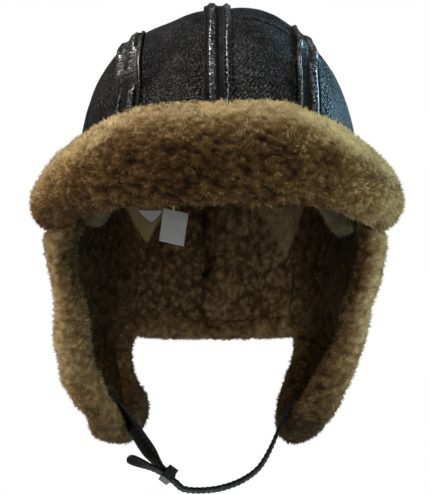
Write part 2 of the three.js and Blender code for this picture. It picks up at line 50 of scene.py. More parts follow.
# Crown
BAND_HALF_WIDTH = 97.0
BAND_HALF_DEPTH = 115.0
CROWN_HEIGHT = 136.0
FULLNESS = 2.3  # exponent of the superellipse, where 2 is a plain ellipse
LEATHER_WALL = 2.0
FLEECE_DEPTH = 9.5
CLEARANCE = 0.35
SHEET_DEPTH = LEATHER_WALL + CLEARANCE + FLEECE_DEPTH
TUFT_ROOM = 2.4  # how far a face of fleece is sunk, for its tufts to reach the face of its solid
MM_PER_DEGREE = 1.75  # on the skirt, about

# Taped seams
SEAM_REACH = 59.0
TAPE_THICKNESS = 1.4
TAPE_RIDGE = 1.3

# Stitches: their pitch, their length and the radius of their thread
TAPE_STITCH = (4.2, 2.9, 0.38)
TAPE_EDGE_STITCH = (3.4, 2.2, 0.38)
FLAP_STITCH = (4.0, 2.7, 0.36)
STRAP_STITCH = (3.6, 2.5, 0.3)

# Brim
BRIM_HEIGHT = 66.0
BRIM_DEPTH = 31.0
BRIM_FOOT = -3.0
BRIM_DROOP = (19.0, 20.0, 95.0)  # how much lower its edge gets, and over which degrees
BRIM_NARROW = (0.9, 15.0, 65.0)  # the share of its height that it keeps, and over which degrees
BRIM_END = 100.0
BRIM_TAPER = 20.0
BRIM_SECTION = np.array([
    (0, 0.4), (0.04, 0.62), (0.1, 0.81), (0.2, 0.95), (0.33, 1.0),
    (0.47, 0.96), (0.62, 0.82), (0.77, 0.6), (0.9, 0.33), (1, 0.09),
])  # height, depth, in shares

# Flaps
FLAP_DROP = 156.0
NECK_DROP = 85.0
NECK_SAG = 6.0
NECK_SEAM = 143.0
BACK_SEAM = 183.4  # of the lining, which lies beside the leather's
FLAP_TUCK = 24.0
FLAP_SWAY = 9.5
REAR_SWAY = 0.55
REAR_FROM = 76.0
REAR_TO = 118.0
FRONT_ROLL = 13.0
LOW_ROLL = 12.5
REAR_ROLL = 9.5
BROW_ROLL = 9.0
EAR_ROLL_ROOM = 1.8  # how much thinner than its solid a roll is, for its tufts
NECK_ROLL_ROOM = 1.6
BROW_ROLL_ROOM = 1.4
BROW_END = 68.0
BROW_RISE = 6.0
BROW_DROOP = 11.0
BROW_LEVEL = 46.0
FLAP_EDGE = np.array([
    (72, 0.01), (72, 0.16), (72, 0.37), (72, 0.58), (73, 0.72), (76, 0.83), (82, 0.92), (91, 0.98),
    (100, 1.0), (109, 0.97), (117, 0.9), (124, 0.8), (131, 0.69), (137, 0.6), (143, 0.55),
])  # degrees round from the front, share of the drop
FLAP_STANCE = np.array([
    (0, 0, 0), (0.14, 0.5, 0.04), (0.22, 0.56, 0.02), (0.3, 0.48, 0), (0.42, 0.29, 0), (0.53, 0.2, 0),
    (0.63, 0.13, -0.03), (0.72, -0.06, -0.28), (0.8, -0.31, -0.58), (0.87, -0.52, -0.88),
    (0.93, -0.78, -1.15), (1.0, -1.06, -1.4),
])  # share of the drop, then how far it stands out at its front and its rear, in shares of the tuck

# Where the crown sinks: across, along, wide, long, depth, in shares of the band and of the wall
DENTS = [
    (-0.37, 0, 0.24, 1.2, 3.5), (0.34, -0.5, 0.16, 0.16, 1.0), (0.3, 0.55, 0.35, 0.35, 0.8),
    (-0.61, 0, 0.1, 3, 0.7), (0, 0, 0.17, 3, 1.6), (0.61, 0, 0.12, 3, 1.1),
]

# Chin strap
STRAP_WIDTH = 14.0
STRAP_THICKNESS = 2.4
STRAP_SEAM = 5.0  # from its middle
STRAP_ANGLE = 87.0
STRAP_SEWN = 0.78
STRAP_LOWEST = 195.0
BUCKLE_REACH = 34.0
BUCKLE_LOW = 0.955
BUCKLE_TURN = 36.0
BUCKLE_TILT = 18.0
TAB_PAST = 5.0
TAIL_LENGTH = 30.0
TAIL_HANG = 6.0
BUCKLE_LENGTH = 7.0
STRAP_LIE = STRAP_THICKNESS / 2 + 0.7  # of its middle line, off the fleece

# Labels
LABEL_WIDTH = 20.0
LABEL_HEIGHT = 25.0
LABEL_TOP = 3.0
LABEL_HANG = 1.3
LABEL_SLOPE = 0.2
CARE_LABEL_ANGLE = 198.0
CARE_LABEL_LEAN = -12.0
SIZE_LABEL_HEIGHT = 8.5


# Numbers and curves


def lerp(a, b, t):
    return a + (b - a) * t


def smoothstep(value, low, high):
    t = np.clip((value - low) / (high - low), 0, 1)
    return t * t * (3 - 2 * t)


def window(value, start, full, fading, end):
    """1 between full and fading, and 0 before the start and after the end."""
    return smoothstep(value, start, full) * (1 - smoothstep(value, fading, end))


def bell(value, power=2):
    """1 where the value is 0, and less and less away from there."""
    return np.exp(-(value**power))


def unit(v):
    return v / np.maximum(np.linalg.norm(v, axis=-1, keepdims=True), 1e-12)


def lengths_along(line):
    """Length of a line up to each of its points."""
    return np.concatenate([[0], np.cumsum(np.linalg.norm(np.diff(line, axis=0), axis=1))])


def circles(first, second, sides):
    """Directions round a circle at each point of a line, from two directions at right angles."""
    turn = 2 * np.pi * np.arange(sides) / sides
    return first[:, None] * np.cos(turn)[None, :, None] + second[:, None] * np.sin(turn)[None, :, None]


def read_table(table, column, at):
    """A smooth curve through one column of a table, against its first column."""
    x, y = table[:, 0], table[:, column]
    slope = np.empty(len(x))
    slope[1:-1] = (y[2:] - y[:-2]) / (x[2:] - x[:-2])
    slope[0] = (y[1] - y[0]) / (x[1] - x[0])
    slope[-1] = (y[-1] - y[-2]) / (x[-1] - x[-2])
    i = np.clip(np.searchsorted(x, at, side="right") - 1, 0, len(x) - 2)
    step = x[i + 1] - x[i]
    t = np.clip((at - x[i]) / step, 0, 1)
    rise = t * t * (3 - 2 * t)
    bend = slope[i] * step * t * (1 - t) ** 2 - slope[i + 1] * step * t * t * (1 - t)
    return y[i] * (1 - rise) + y[i + 1] * rise + bend


def smooth_curve(points, steps):
    """A centripetal curve through points, as steps + 1 points an equal length apart."""
    p = np.array(points, float)
    p = np.vstack([2 * p[0] - p[1], p, 2 * p[-1] - p[-2]])
    knots = np.concatenate([[0], np.cumsum(np.linalg.norm(np.diff(p, axis=0), axis=1) ** 0.5)])
    fine = []
    for i in range(1, len(p) - 2):
        at = knots[i - 1 : i + 3]
        t = np.linspace(at[1], at[2], 40, endpoint=False)[:, None]

        def between(a, b, low, high):
            return (high - t) / (high - low) * a + (t - low) / (high - low) * b

        first = [between(p[i + k - 1], p[i + k], at[k], at[k + 1]) for k in range(3)]
        second = [between(first[k], first[k + 1], at[k], at[k + 2]) for k in range(2)]
        fine.append(between(*second, at[1], at[2]))
    fine = np.vstack(fine + [p[-2:-1]])
    along = lengths_along(fine)
    at = np.linspace(0, along[-1], steps + 1)
    return np.stack([np.interp(at, along, fine[:, k]) for k in range(p.shape[1])], axis=1)


# Noise


def hashed(cell, seed):
    """A number from 0 to 1 for each whole-numbered place."""
    x, y, z = np.moveaxis(cell, -1, 0)
    n = x * 73856093 ^ y * 19349663 ^ z * 83492791 ^ (seed * 2654435761 + 977)
    n = (n ^ (n >> 15)) * 2246822519 & 0xFFFFFFFF
    n = (n ^ (n >> 13)) * 3266489917 & 0xFFFFFFFF
    return ((n ^ (n >> 16)) & 0xFFFFFF) / 0xFFFFFF


def soft_noise(p, size, seed):
    """Smooth noise from -1 to 1 with features of that size."""
    q = p / size
    cell = np.floor(q).astype(np.int64)
    f = q - cell
    f = f * f * (3 - 2 * f)
    total = 0
    for step in itertools.product((0, 1), repeat=3):
        near = [f[..., k] if step[k] else 1 - f[..., k] for k in range(3)]
        total = total + near[0] * near[1] * near[2] * hashed(cell + step, seed)
    return 2 * total - 1


def rough_noise(p, size, seed):
    """Noise from -1 to 1 with features of that size, half that size and a quarter of it."""
    return sum(soft_noise(p, size / 2**i, seed + 17 * i) / 2**i for i in range(3)) / 1.75


def lumps(p, size, seed):
    """For each point, its distance to the nearest of scattered centres in shares of size, that centre,
    and a number from 0 to 1 that is the centre's own."""
    q = p / size
    cell = np.floor(q).astype(np.int64)
    best = np.full(q.shape[:-1], 1e9)
    centre = np.zeros_like(q)
    own = np.zeros(q.shape[:-1])
    for step in itertools.product((-1, 0, 1), repeat=3):
        place = cell + step
        spot = place + np.stack([hashed(place, seed + k) for k in range(3)], axis=-1)
        far = np.linalg.norm(spot - q, axis=-1)
        near = far < best
        best = np.where(near, far, best)
        centre = np.where(near[..., None], spot, centre)
        own = np.where(near, hashed(place, seed + 3), own)
    return best, centre * size, own


# Surfaces of the crown and the skirt


def bent(value):
    return np.sign(value) * np.abs(value) ** (2 / FULLNESS)


def unbent(value):
    return np.sign(value) * np.abs(value) ** (FULLNESS / 2)


def height_turn(height):
    return np.arcsin(np.clip(unbent(height / CROWN_HEIGHT), -1, 1))


def outward(p):
    half = np.array([BAND_HALF_WIDTH, BAND_HALF_DEPTH, CROWN_HEIGHT])
    return unit(np.sign(p) * np.abs(p / half) ** (FULLNESS - 1) / half)


def dent_depth(p):
    fade = smoothstep(p[..., 2], 0.15 * CROWN_HEIGHT, 0.5 * CROWN_HEIGHT)
    total = np.zeros(p.shape[:-1])
    for across, along, wide, long, depth in DENTS:
        dx = p[..., 0] / BAND_HALF_WIDTH - across
        dy = p[..., 1] / BAND_HALF_WIDTH - along
        total += depth * np.exp(-((dx / wide) ** 2) - (dy / long) ** 2)
    return total * LEATHER_WALL * fade


def off_crown(base, offset):
    return base + outward(base) * (offset - dent_depth(base))[..., None]


def slice_point(across, turn, offset):
    """A point over a slice of the crown: turn runs from the front band over the top to the back."""
    across, turn, offset = np.broadcast_arrays(across, turn, offset)
    share = np.maximum(0, 1 - np.abs(across / BAND_HALF_WIDTH) ** FULLNESS) ** (1 / FULLNESS)
    y = -BAND_HALF_DEPTH * share * bent(np.cos(turn))
    z = CROWN_HEIGHT * share * bent(np.sin(turn))
    return off_crown(np.stack([across, y, z], axis=-1), offset)


def bare_dome(angle, rise):
    """A point of the crown before its dents: angle round from the front, rise from band to top."""
    angle, rise = np.broadcast_arrays(np.radians(angle), rise)
    share = bent(np.cos(rise))
    x = BAND_HALF_WIDTH * share * bent(np.sin(angle))
    y = -BAND_HALF_DEPTH * share * bent(np.cos(angle))
    return np.stack([x, y, CROWN_HEIGHT * bent(np.sin(rise))], axis=-1)


def dome_point(angle, rise, offset):
    angle, rise, offset = np.broadcast_arrays(angle, rise, offset)
    return off_crown(bare_dome(angle, rise), offset)


def band_point(angle):
    return bare_dome(angle, 0.0)


def signed(angle):
    """The same angle round from the front, as one from -180 to 180."""
    return np.where(angle > 180, angle - 360, angle)


def rear_share(angle):
    return smoothstep(np.abs(signed(angle)), REAR_FROM, REAR_TO)


def stance(angle, drop):
    share = np.clip(drop / FLAP_DROP, 0, 1)
    front, rear = read_table(FLAP_STANCE, 1, share), read_table(FLAP_STANCE, 2, share)
    return FLAP_TUCK * lerp(front, rear, rear_share(angle))


def skirt_point(angle, drop, offset):
    """A point of the skirt's leather face, or off it by an offset."""
    angle, drop, offset = np.broadcast_arrays(*(np.asarray(v, float) for v in (angle, drop, offset)))
    base = band_point(angle)
    p = base + outward(base) * (stance(angle, drop) + offset)[..., None]
    p[..., 0] -= FLAP_SWAY * lerp(1, REAR_SWAY, rear_share(angle)) * drop / FLAP_DROP
    p[..., 2] = -drop
    return p


EDGE_CURVE = smooth_curve(FLAP_EDGE * [1, FLAP_DROP], 400)


def edge_at(t):
    """Angle and drop of an ear flap's edge at shares of its length."""
    at = np.linspace(0, 1, len(EDGE_CURVE))
    return np.interp(t, at, EDGE_CURVE[:, 0]), np.interp(t, at, EDGE_CURVE[:, 1])


def roll_size(t):
    """Radius of an ear roll at shares of its length."""
    low = lerp(FRONT_ROLL, LOW_ROLL, smoothstep(t, 0, 0.4))
    return lerp(low, REAR_ROLL, smoothstep(t, 0.6, 1))


def neck_level(t):
    """Drop of the neck flap's edge at shares of the way round it."""
    return lerp(FLAP_EDGE[-1, 1] * FLAP_DROP, NECK_DROP + NECK_SAG, np.sin(np.pi * t) ** 0.7)


def edge_angle(drop, rear):
    """Angle of an ear flap's front or rear edge at a drop."""
    lowest = int(EDGE_CURVE[:, 1].argmax())
    branch = EDGE_CURVE[lowest:][::-1] if rear else EDGE_CURVE[: lowest + 1]
    return np.interp(drop, branch[:, 1], branch[:, 0])


# Meshes


def facing_normals(grid, closed):
    """Normals of a grid of points, facing away from the middle of each row where the rows are closed."""
    around = np.roll(grid, -1, 1) - np.roll(grid, 1, 1) if closed else np.gradient(grid, axis=1)
    n = np.cross(np.gradient(grid, axis=0), around)
    if closed and (n * (grid - grid.mean(axis=1, keepdims=True))).sum() < 0:
        n = -n
    return unit(n)


def faced_out(points, quads, tris):
    """The same closed mesh with its faces turned outwards."""
    a, b, c, d = (points[quads[:, k]] for k in range(4))
    volume = (a * np.cross(b, c)).sum() + (a * np.cross(c, d)).sum()
    return (points, quads, tris) if volume > 0 else (points, quads[:, ::-1], tris[:, ::-1])


def sweep(grid):
    """A closed mesh from rings of points: its points, quads and triangles."""
    rings, points = grid.shape[:2]
    ends = np.stack([grid[0].mean(axis=0), grid[-1].mean(axis=0)])
    at = np.arange(rings * points).reshape(rings, points)
    after = np.roll(at, -1, axis=1)
    quads = np.stack([at[:-1], after[:-1], after[1:], at[1:]], axis=-1).reshape(-1, 4)
    first = np.full(points, rings * points)
    caps = np.vstack([
        np.stack([after[0], at[0], first], axis=1), np.stack([at[-1], after[-1], first + 1], axis=1)
    ])
    return faced_out(np.vstack([grid.reshape(-1, 3), ends]), quads, caps)


def shell(outer, inner):
    """A closed sheet between two grids of points."""
    u, v = outer.shape[:2]
    flat = np.vstack([outer.reshape(-1, 3), inner.reshape(-1, 3)])
    at = np.arange(u * v).reshape(u, v)
    a, b, c, d = at[:-1, :-1], at[1:, :-1], at[1:, 1:], at[:-1, 1:]
    face = np.stack([a, b, c, d], axis=-1).reshape(-1, 4)
    back = face[:, ::-1] + u * v
    rim = np.concatenate([at[:, 0], at[-1, 1:], at[-2::-1, -1], at[0, -2::-1]])
    rim_quads = np.stack([rim[:-1], rim[:-1] + u * v, rim[1:] + u * v, rim[1:]], axis=1)
    return faced_out(flat, np.vstack([face, back, rim_quads]), np.empty((0, 3), int))


def joined(parts):
    """One set of points and faces from several."""
    starts = np.cumsum([0] + [len(points) for points, _ in parts[:-1]])
    faces = [faces + start for (_, faces), start in zip(parts, starts)]
    return np.vstack([points for points, _ in parts]), np.vstack(faces)


def in_scene(name, data):
    """A new object of that mesh, lamp or camera, in the scene."""
    made = bpy.data.objects.new(name, data)
    bpy.context.scene.collection.objects.link(made)
    return made


def make_piece(name, points, quads, tris, material, tone=None, normals=None):
    """A mesh object of points in millimetres, with a tone from 0 to 1 for each point."""
    mesh = bpy.data.meshes.new(name)
    mesh.vertices.add(len(points))
    mesh.vertices.foreach_set("co", (points * MM).astype(np.float32).ravel())
    mesh.loops.add(quads.size + tris.size)
    mesh.loops.foreach_set("vertex_index", np.concatenate([quads.ravel(), tris.ravel()]).astype(np.int32))
    mesh.polygons.add(len(quads) + len(tris))
    starts = np.concatenate([np.arange(len(quads)) * 4, quads.size + np.arange(len(tris)) * 3])
    mesh.polygons.foreach_set("loop_start", starts.astype(np.int32))
    mesh.polygons.foreach_set("use_smooth", np.ones(len(starts), bool))
    mesh.update(calc_edges=True)
    if tone is not None:
        layer = mesh.attributes.new("tone", "FLOAT", "POINT")
        layer.data.foreach_set("value", np.clip(tone, 0, 1).astype(np.float32))
    if normals is not None:
        mesh.normals_split_custom_set_from_vertices(normals.tolist())
    mesh.materials.append(material)
    return in_scene(name, mesh)


def keep(piece, slot, *nodes):
    """Fixes a piece to the helmet's body and hides the nodes that it stands for. slot, its finish, is not
    used.
    """
    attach(piece, "root")
    if nodes:
        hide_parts(*nodes)
    return piece


def sheet_piece(name, outer, inner, material, slot, node, tone):
    """A closed sheet between two grids of points, with a tone for each point of its outer face."""
    tone = np.concatenate([tone.ravel(), np.zeros(inner[..., 0].size)])
    keep(make_piece(name, *shell(outer, inner), material, tone), slot, node)


# Materials


class Paint:
    """A material with short ways to add nodes to it. Its place is where a point lies on its object."""

    def __init__(self, name):
        self.material = bpy.data.materials.new(name)
        self.material.use_nodes = True
        self.nodes, self.links = self.material.node_tree.nodes, self.material.node_tree.links
        self.place = self.nodes.new("ShaderNodeTexCoord").outputs["Object"]

    def fill(self, node, inputs):
        """Gives a node's inputs, by name or number, a number, a colour or another node's output."""
        for name, value in inputs.items():
            socket = node.inputs[name]
            if isinstance(value, bpy.types.NodeSocket):
                self.links.new(value, socket)
            elif isinstance(value, tuple) and socket.type == "RGBA":
                socket.default_value = (*value, 1)
            else:
                socket.default_value = value

    def add(self, kind, out, inputs, **settings):
        node = self.nodes.new("ShaderNode" + kind)
        for name, value in settings.items():
            setattr(node, name, value)
        self.fill(node, inputs)
        return node.outputs[out]

    def tone(self):
        return self.add("Attribute", "Fac", {}, attribute_name="tone")

    def noise(self, scale, detail, stretch=None):
        place = self.place
        if stretch is not None:
            place = self.add("Mapping", "Vector", {"Vector": place, "Scale": stretch})
        return self.add("TexNoise", "Fac", {"Vector": place, "Scale": scale, "Detail": detail})

    def ramp(self, value, *stops):
        """Colours along a value. Each stop is a place and a colour or a grey."""
        node = self.nodes.new("ShaderNodeValToRGB")
        elements = node.color_ramp.elements
        while len(elements) < len(stops):
            elements.new(0.5)
        for element, (at, colour) in zip(elements, stops):
            element.position = at
            element.color = (*colour, 1) if isinstance(colour, tuple) else (colour, colour, colour, 1)
        self.fill(node, {"Fac": value})
        return node.outputs["Color"]

    def math(self, operation, a, b):
        return self.add("Math", "Value", {0: a, 1: b}, operation=operation)

    def mix(self, factor, a, b, blend="MIX"):
        return self.add("Mix", 2, {0: factor, 6: a, 7: b}, data_type="RGBA", blend_type=blend)

    def bump(self, height, distance, strength, **before):
        inputs = {"Height": height, "Distance": distance, "Strength": strength, **before}
        return self.add("Bump", "Normal", inputs)

    def shade(self, **inputs):
        """Gives the shader its inputs, with _ for each space in a name, and returns the material."""
        named = {name.replace("_", " "): value for name, value in inputs.items()}
        self.fill(self.nodes["Principled BSDF"], named)
        return self.material


def darker(colour, share):
    return tuple(share * c for c in colour)


def fleece_material(name, root, middle, tip, faded):
    """Wool that is dark at its roots and pale at its tips, and that has faded in patches; its tone also
    carries painted light and shade.
    """
    wool = Paint(name)
    flecks = wool.math("MULTIPLY", wool.noise(900, 2), 0.3)
    depth = wool.math("SUBTRACT", wool.math("ADD", wool.tone(), flecks), 0.15)
    colour = wool.ramp(depth, (0.0, root), (0.42, middle), (0.95, tip))
    where = wool.ramp(wool.noise(38, 2), (0.42, 0.0), (0.68, 0.55))
    return wool.shade(
        Base_Color=wool.mix(where, colour, faded, "MULTIPLY"), Roughness=0.85, Specular_IOR_Level=0.12,
        Sheen_Weight=0.12, Sheen_Roughness=0.5, Sheen_Tint=tip,
        Normal=wool.bump(wool.noise(1500, 2), 0.0006, 0.6),
    )


def leather_material(name, dark, worn, roughness, grain, relief, coat, shine, flat_dulling, pleats=0):
    """Pebbled hide: rounded grain, fine creases, and a worn colour where the tone is high."""
    hide = Paint(name)
    tone = hide.tone()
    wobble = {0: hide.noise(grain * 0.3, 2), 1: (0.003, 0.003, 0.003), 2: hide.place}
    place = hide.add("VectorMath", "Vector", wobble, operation="MULTIPLY_ADD")
    cells = hide.add("TexVoronoi", "Distance", {"Scale": grain, "Vector": place})
    pebble = hide.ramp(cells, (0.0, 1.0), (0.35, 0.82), (0.8, 0.0))
    scuffs = hide.ramp(hide.noise(420, 4), (0.45, 0.0), (0.68, 1.0))
    rubbed = hide.math("MULTIPLY", hide.math("MULTIPLY", tone, scuffs), pebble)
    rough = hide.ramp(hide.noise(160, 5), (0.3, roughness - 0.1), (0.7, roughness + 0.14))
    dull = hide.math("MULTIPLY", hide.ramp(tone, (0.15, 1.0), (0.75, 0.0)), flat_dulling)
    form = hide.bump(hide.noise(150, 5, (1.0, 1.0, 2.4)), 0.002, 0.4 * relief)
    form = hide.bump(pebble, 0.0009, relief, Normal=form)
    form = hide.bump(hide.noise(grain * 2.2, 3), 0.0006, 0.5 * relief, Normal=form)
    if pleats > 0:
        folds = hide.math("MULTIPLY", hide.noise(260, 2, (0.14, 1.0, 1.0)), tone)
        form = hide.bump(folds, 0.008, pleats, Normal=form)
    if coat > 0:
        hide.shade(Coat_Weight=hide.ramp(tone, (0.35, 0.0), (0.8, coat)), Coat_Roughness=0.16)
    return hide.shade(
        Base_Color=hide.mix(rubbed, hide.mix(pebble, darker(dark, 0.35), dark), worn),
        Roughness=hide.math("ADD", rough, dull), Normal=form,
        Specular_IOR_Level=hide.ramp(tone, (0.2, 0.15 * shine), (0.75, shine)),
    )


def cloth_material(name, colour):
    """A plain woven tape, with threads both ways."""
    cloth = Paint(name)
    threads = {"Scale": 620, "Distortion": 0.6, "Vector": cloth.place}
    waves = [cloth.add("TexWave", "Fac", threads, bands_direction=axis) for axis in "XZ"]
    weave = cloth.math("MAXIMUM", *waves)
    tint = cloth.ramp(weave, (0.0, darker(colour, 0.86)), (1.0, colour))
    soil = cloth.ramp(cloth.noise(90, 3), (0.35, 0.9), (0.7, 1.0))
    return cloth.shade(
        Base_Color=cloth.mix(1.0, tint, soil, "MULTIPLY"), Roughness=0.75, Sheen_Weight=0.2,
        Normal=cloth.bump(weave, 0.0002, 0.6),
    )


def metal_material(name, paint, bare):
    """Dark painted wire, rubbed to bare metal in spots."""
    metal = Paint(name)
    rubbed = metal.ramp(metal.noise(520, 5), (0.56, 0.0), (0.66, 1.0))
    return metal.shade(
        Base_Color=metal.mix(rubbed, paint, bare), Metallic=rubbed, Specular_IOR_Level=0.2,
        Roughness=metal.ramp(rubbed, (0.0, 0.32), (1.0, 0.22)),
        Normal=metal.bump(metal.noise(900, 3, (1.0, 6.0, 1.0)), 0.0002, 0.35),
    )


def thread_material(name, colour):
    """Waxed thread, twisted."""
    thread = Paint(name)
    twist = thread.noise(1800, 2, (1.0, 1.0, 0.4))
    return thread.shade(
        Base_Color=thread.ramp(twist, (0.3, darker(colour, 0.5)), (0.7, colour)), Roughness=0.42,
        Normal=thread.bump(twist, 0.0002, 0.7),
    )


def floor_material(name):
    """Pale matt board."""
    board = Paint(name)
    return board.shade(Base_Color=board.ramp(board.noise(2, 2), (0.0, 0.72), (1.0, 0.78)), Roughness=0.9)


# Fleece


def fleece_relief(points, clump, seed, squeeze):
    """Height of the fleece's curls, from 0 between them to 1, and a number that is each curl's own.
    squeeze packs the curls closer along each axis."""
    warp = np.stack([soft_noise(points, 1.5 * clump, seed + k) for k in (11, 12, 13)], axis=-1)
    squeezed = points * squeeze + 0.45 * clump * warp
    far, _, own = lumps(squeezed, clump, seed)
    fine, _, _ = lumps(squeezed, clump / 2.1, seed + 9)
    height = 0.66 * np.clip(1.1 - far, 0, 1) ** 0.8 + 0.34 * np.clip(1.1 - fine, 0, 1) ** 0.8
    return height, own


def no_comb(root):
    return np.zeros_like(root)


def comb_down(root):
    return np.tile([0.0, 0.0, -0.4], (len(root), 1))


def grow_hairs(
    grid, normals, tones, closed, seed, squeeze, count, length, width,
    comb=no_comb, curl=3.8, pull=0.8, contrast=0.4, bare=1.0,
):
    """Thin closed spikes that stand on a grid of points, gathered into small curls that swirl over it.
    bare is the share of them that grow at each point."""
    rng = np.random.default_rng(seed)

    def ring(values):
        values = np.broadcast_to(values, tones.shape + values.shape[2:])
        return np.concatenate([values, values[:, :1]], axis=1) if closed else values

    whole = ring(grid)
    area = np.linalg.norm(
        np.cross(whole[1:, 1:] - whole[:-1, :-1], whole[1:, :-1] - whole[:-1, 1:]), axis=-1
    )
    area = area * ring(np.asarray(bare))[:-1, :-1]
    pick = rng.choice(area.size, count, p=(area / area.sum()).ravel())
    i, j = np.unravel_index(pick, area.shape)
    u, v = rng.random((2, count))

    def at_root(values):
        values = ring(np.asarray(values))
        s, t = (u[:, None], v[:, None]) if values.ndim == 3 else (u, v)
        low = lerp(values[i, j], values[i + 1, j], s)
        return lerp(low, lerp(values[i, j + 1], values[i + 1, j + 1], s), t)

    root, up = at_root(grid), unit(at_root(normals))
    far, centre, own = lumps(root * squeeze, curl, seed + 31)
    rise = np.clip(1.05 - far, 0, 1)
    swirl = np.stack([soft_noise(root, 2.2 * curl, seed + k) for k in (41, 42, 43)], axis=1)
    lean = (centre / squeeze - root) / curl * pull + 1.1 * swirl
    lean -= up * (lean * up).sum(axis=1, keepdims=True)
    long = length * (0.6 + 0.6 * rise) * (0.75 + 0.5 * rng.random(count))
    drift = unit(rng.normal(size=(count, 3)))
    way = unit(0.85 * up + 0.22 * drift + lean + comb(root))
    # Painted shade: hairs on the tops of the curls are paler and those between them darker
    tone = at_root(tones) + at_root(contrast) * (rise - 0.5) + 0.14 * (own - 0.5)
    tip = root + way * long[:, None]
    side = unit(np.cross(way, drift))
    other = np.cross(way, side)
    foot = root - up * 0.8
    thick = width * (0.7 + 0.6 * rng.random(count))[:, None] / 2
    turns = np.radians([0, 120, 240])
    corners = [foot + thick * (side * math.cos(a) + other * math.sin(a)) for a in turns]
    points = np.stack([*corners, tip], axis=1).reshape(-1, 3)
    k = np.arange(count)[:, None] * 4
    tris = np.concatenate([k + [0, 1, 3], k + [1, 2, 3], k + [2, 0, 3], k + [0, 2, 1]]).astype(int)
    # Each hair is darker at its foot than at its tip: partly painted shade near the roots, partly the
    # wool's own paler tips; glow varies each hair at random
    glow = 0.1 * rng.normal(size=count)
    dark, pale = tone - 0.12 + 0.6 * glow, tone + 0.12 + glow
    shade = np.stack([dark, dark, dark, pale], axis=1).ravel()
    spread = np.stack([c - foot for c in corners] + [0 * foot], axis=1).reshape(-1, 3)
    out = unit(np.repeat(up, 4, axis=0) + 0.5 * unit(spread) + 0.2 * np.repeat(drift, 4, axis=0))
    return points, tris, shade, out


def fleece_piece(
    name, grid, material, slot, nodes, fill, clump, depth, seed, squeeze=(1, 1, 1), painted_depth_shade=0.45,
    tint=0.0, inner=None, still=1.0, **hairs,
):
    """Fleece on a grid of points: lumps of relief, with hairs on them. The rows of the grid are rings,
    unless inner is given, the other face of a sheet. depth is the relief's height and still, from 0 to
    1, how much of it there is at each point."""
    closed = inner is None
    squeeze = np.array(squeeze, float)
    normals = facing_normals(grid, closed)
    if not closed and (normals * (grid - inner)).sum() < 0:
        normals = -normals
    height, own = fleece_relief(grid, clump, seed, squeeze)
    broad = rough_noise(grid, 26, seed + 5)
    fluffed = grid + normals * (depth * (height - 0.5 + 0.5 * broad) * still)[..., None]
    # Painted shade: the hollows between the curls are darker and the curls' tops paler; broad and own
    # vary the tone at random, and tint is each piece's colour, on some pieces with painted light and
    # shade
    tones = 0.34 + painted_depth_shade * still * (height - 0.45) + 0.14 * broad + 0.1 * (own - 0.5) + tint
    points, quads, tris = sweep(fluffed) if closed else shell(fluffed, inner)
    rest = [tones[0].mean(), tones[-1].mean()] if closed else np.zeros(inner[..., 0].size)
    # The face under the hairs is as dark as their feet: painted shade beneath the hairs, partly the
    # wool's own darker roots
    shades = np.concatenate([tones.ravel(), rest]) - 0.12
    relief_normals = facing_normals(fluffed, closed)
    if (relief_normals * normals).sum() < 0:
        relief_normals = -relief_normals
    blended = unit(0.4 * normals + relief_normals)
    hair = grow_hairs(fluffed, blended, tones, closed, seed, squeeze, **hairs)
    piece = make_piece(
        name, np.vstack([points, hair[0]]), quads, np.vstack([tris, hair[1] + len(points)]), material,
        tone=np.concatenate([shades, hair[2]]), normals=np.vstack([np.zeros_like(points), hair[3]]),
    )
    keep(piece, slot, *nodes)


def round_ends(points, share):
    """Shares of a radius along a line of points, which close in a quarter circle at each end."""
    t = np.linspace(0, 1, points)
    start = np.sqrt(np.clip(1 - (1 - t / share) ** 2, 0, 1))
    end = np.sqrt(np.clip(1 - (1 - (1 - t) / share) ** 2, 0, 1))
    return np.maximum(np.where(t < share, start, 1) * np.where(t > 1 - share, end, 1), 0.05)


def roll_grid(path, radius, ends, sides):
    """Rings round a path, their first point away from the middle of the helmet, with rounded ends."""
    ahead = unit(np.gradient(path, axis=0))
    towards = path * [1, 1, 0]
    away = unit(towards - ahead * (towards * ahead).sum(axis=1, keepdims=True))
    radius = radius * round_ends(len(path), ends)
    return path[:, None] + circles(away, np.cross(ahead, away), sides) * radius[:, None, None]


# The colours of the materials
FLEECE = fleece_material(
    "fleece", (0.010, 0.0045, 0.0014), (0.128, 0.063, 0.018), (0.64, 0.495, 0.255), (0.84, 0.78, 0.62)
)
TRIM = fleece_material(
    "trim", (0.018, 0.011, 0.005), (0.168, 0.102, 0.041), (0.57, 0.435, 0.24), (0.85, 0.8, 0.68)
)
BROW_FLEECE = fleece_material(
    "brow_fleece", (0.014, 0.012, 0.006), (0.065, 0.055, 0.029), (0.2, 0.175, 0.105), (0.9, 0.88, 0.8)
)
LINING = fleece_material(
    "lining", (0.006, 0.0035, 0.0012), (0.08, 0.048, 0.019), (0.36, 0.26, 0.13), (0.8, 0.74, 0.6)
)
LEATHER = leather_material(
    "leather", (0.005, 0.0048, 0.0052), (0.034, 0.03, 0.031), roughness=0.32, grain=540, relief=1.4,
    coat=0.0, shine=0.55, flat_dulling=0.04,
)
TAPE = leather_material(
    "tape", (0.004, 0.004, 0.005), (0.06, 0.056, 0.06), roughness=0.2, grain=900, relief=0.2, coat=1.0,
    shine=0.9, flat_dulling=0.42, pleats=1.0,
)
STRAP = leather_material(
    "strap", (0.0012, 0.0012, 0.0012), (0.007, 0.006, 0.006), roughness=0.28, grain=800, relief=0.25,
    coat=0.0, shine=0.2, flat_dulling=0.1,
)
THREAD = thread_material("thread", (0.05, 0.042, 0.04))
CLOTH = cloth_material("cloth", (0.93, 0.94, 0.97))
METAL = metal_material("metal", (0.006, 0.006, 0.007), (0.12, 0.12, 0.13))


# Crown


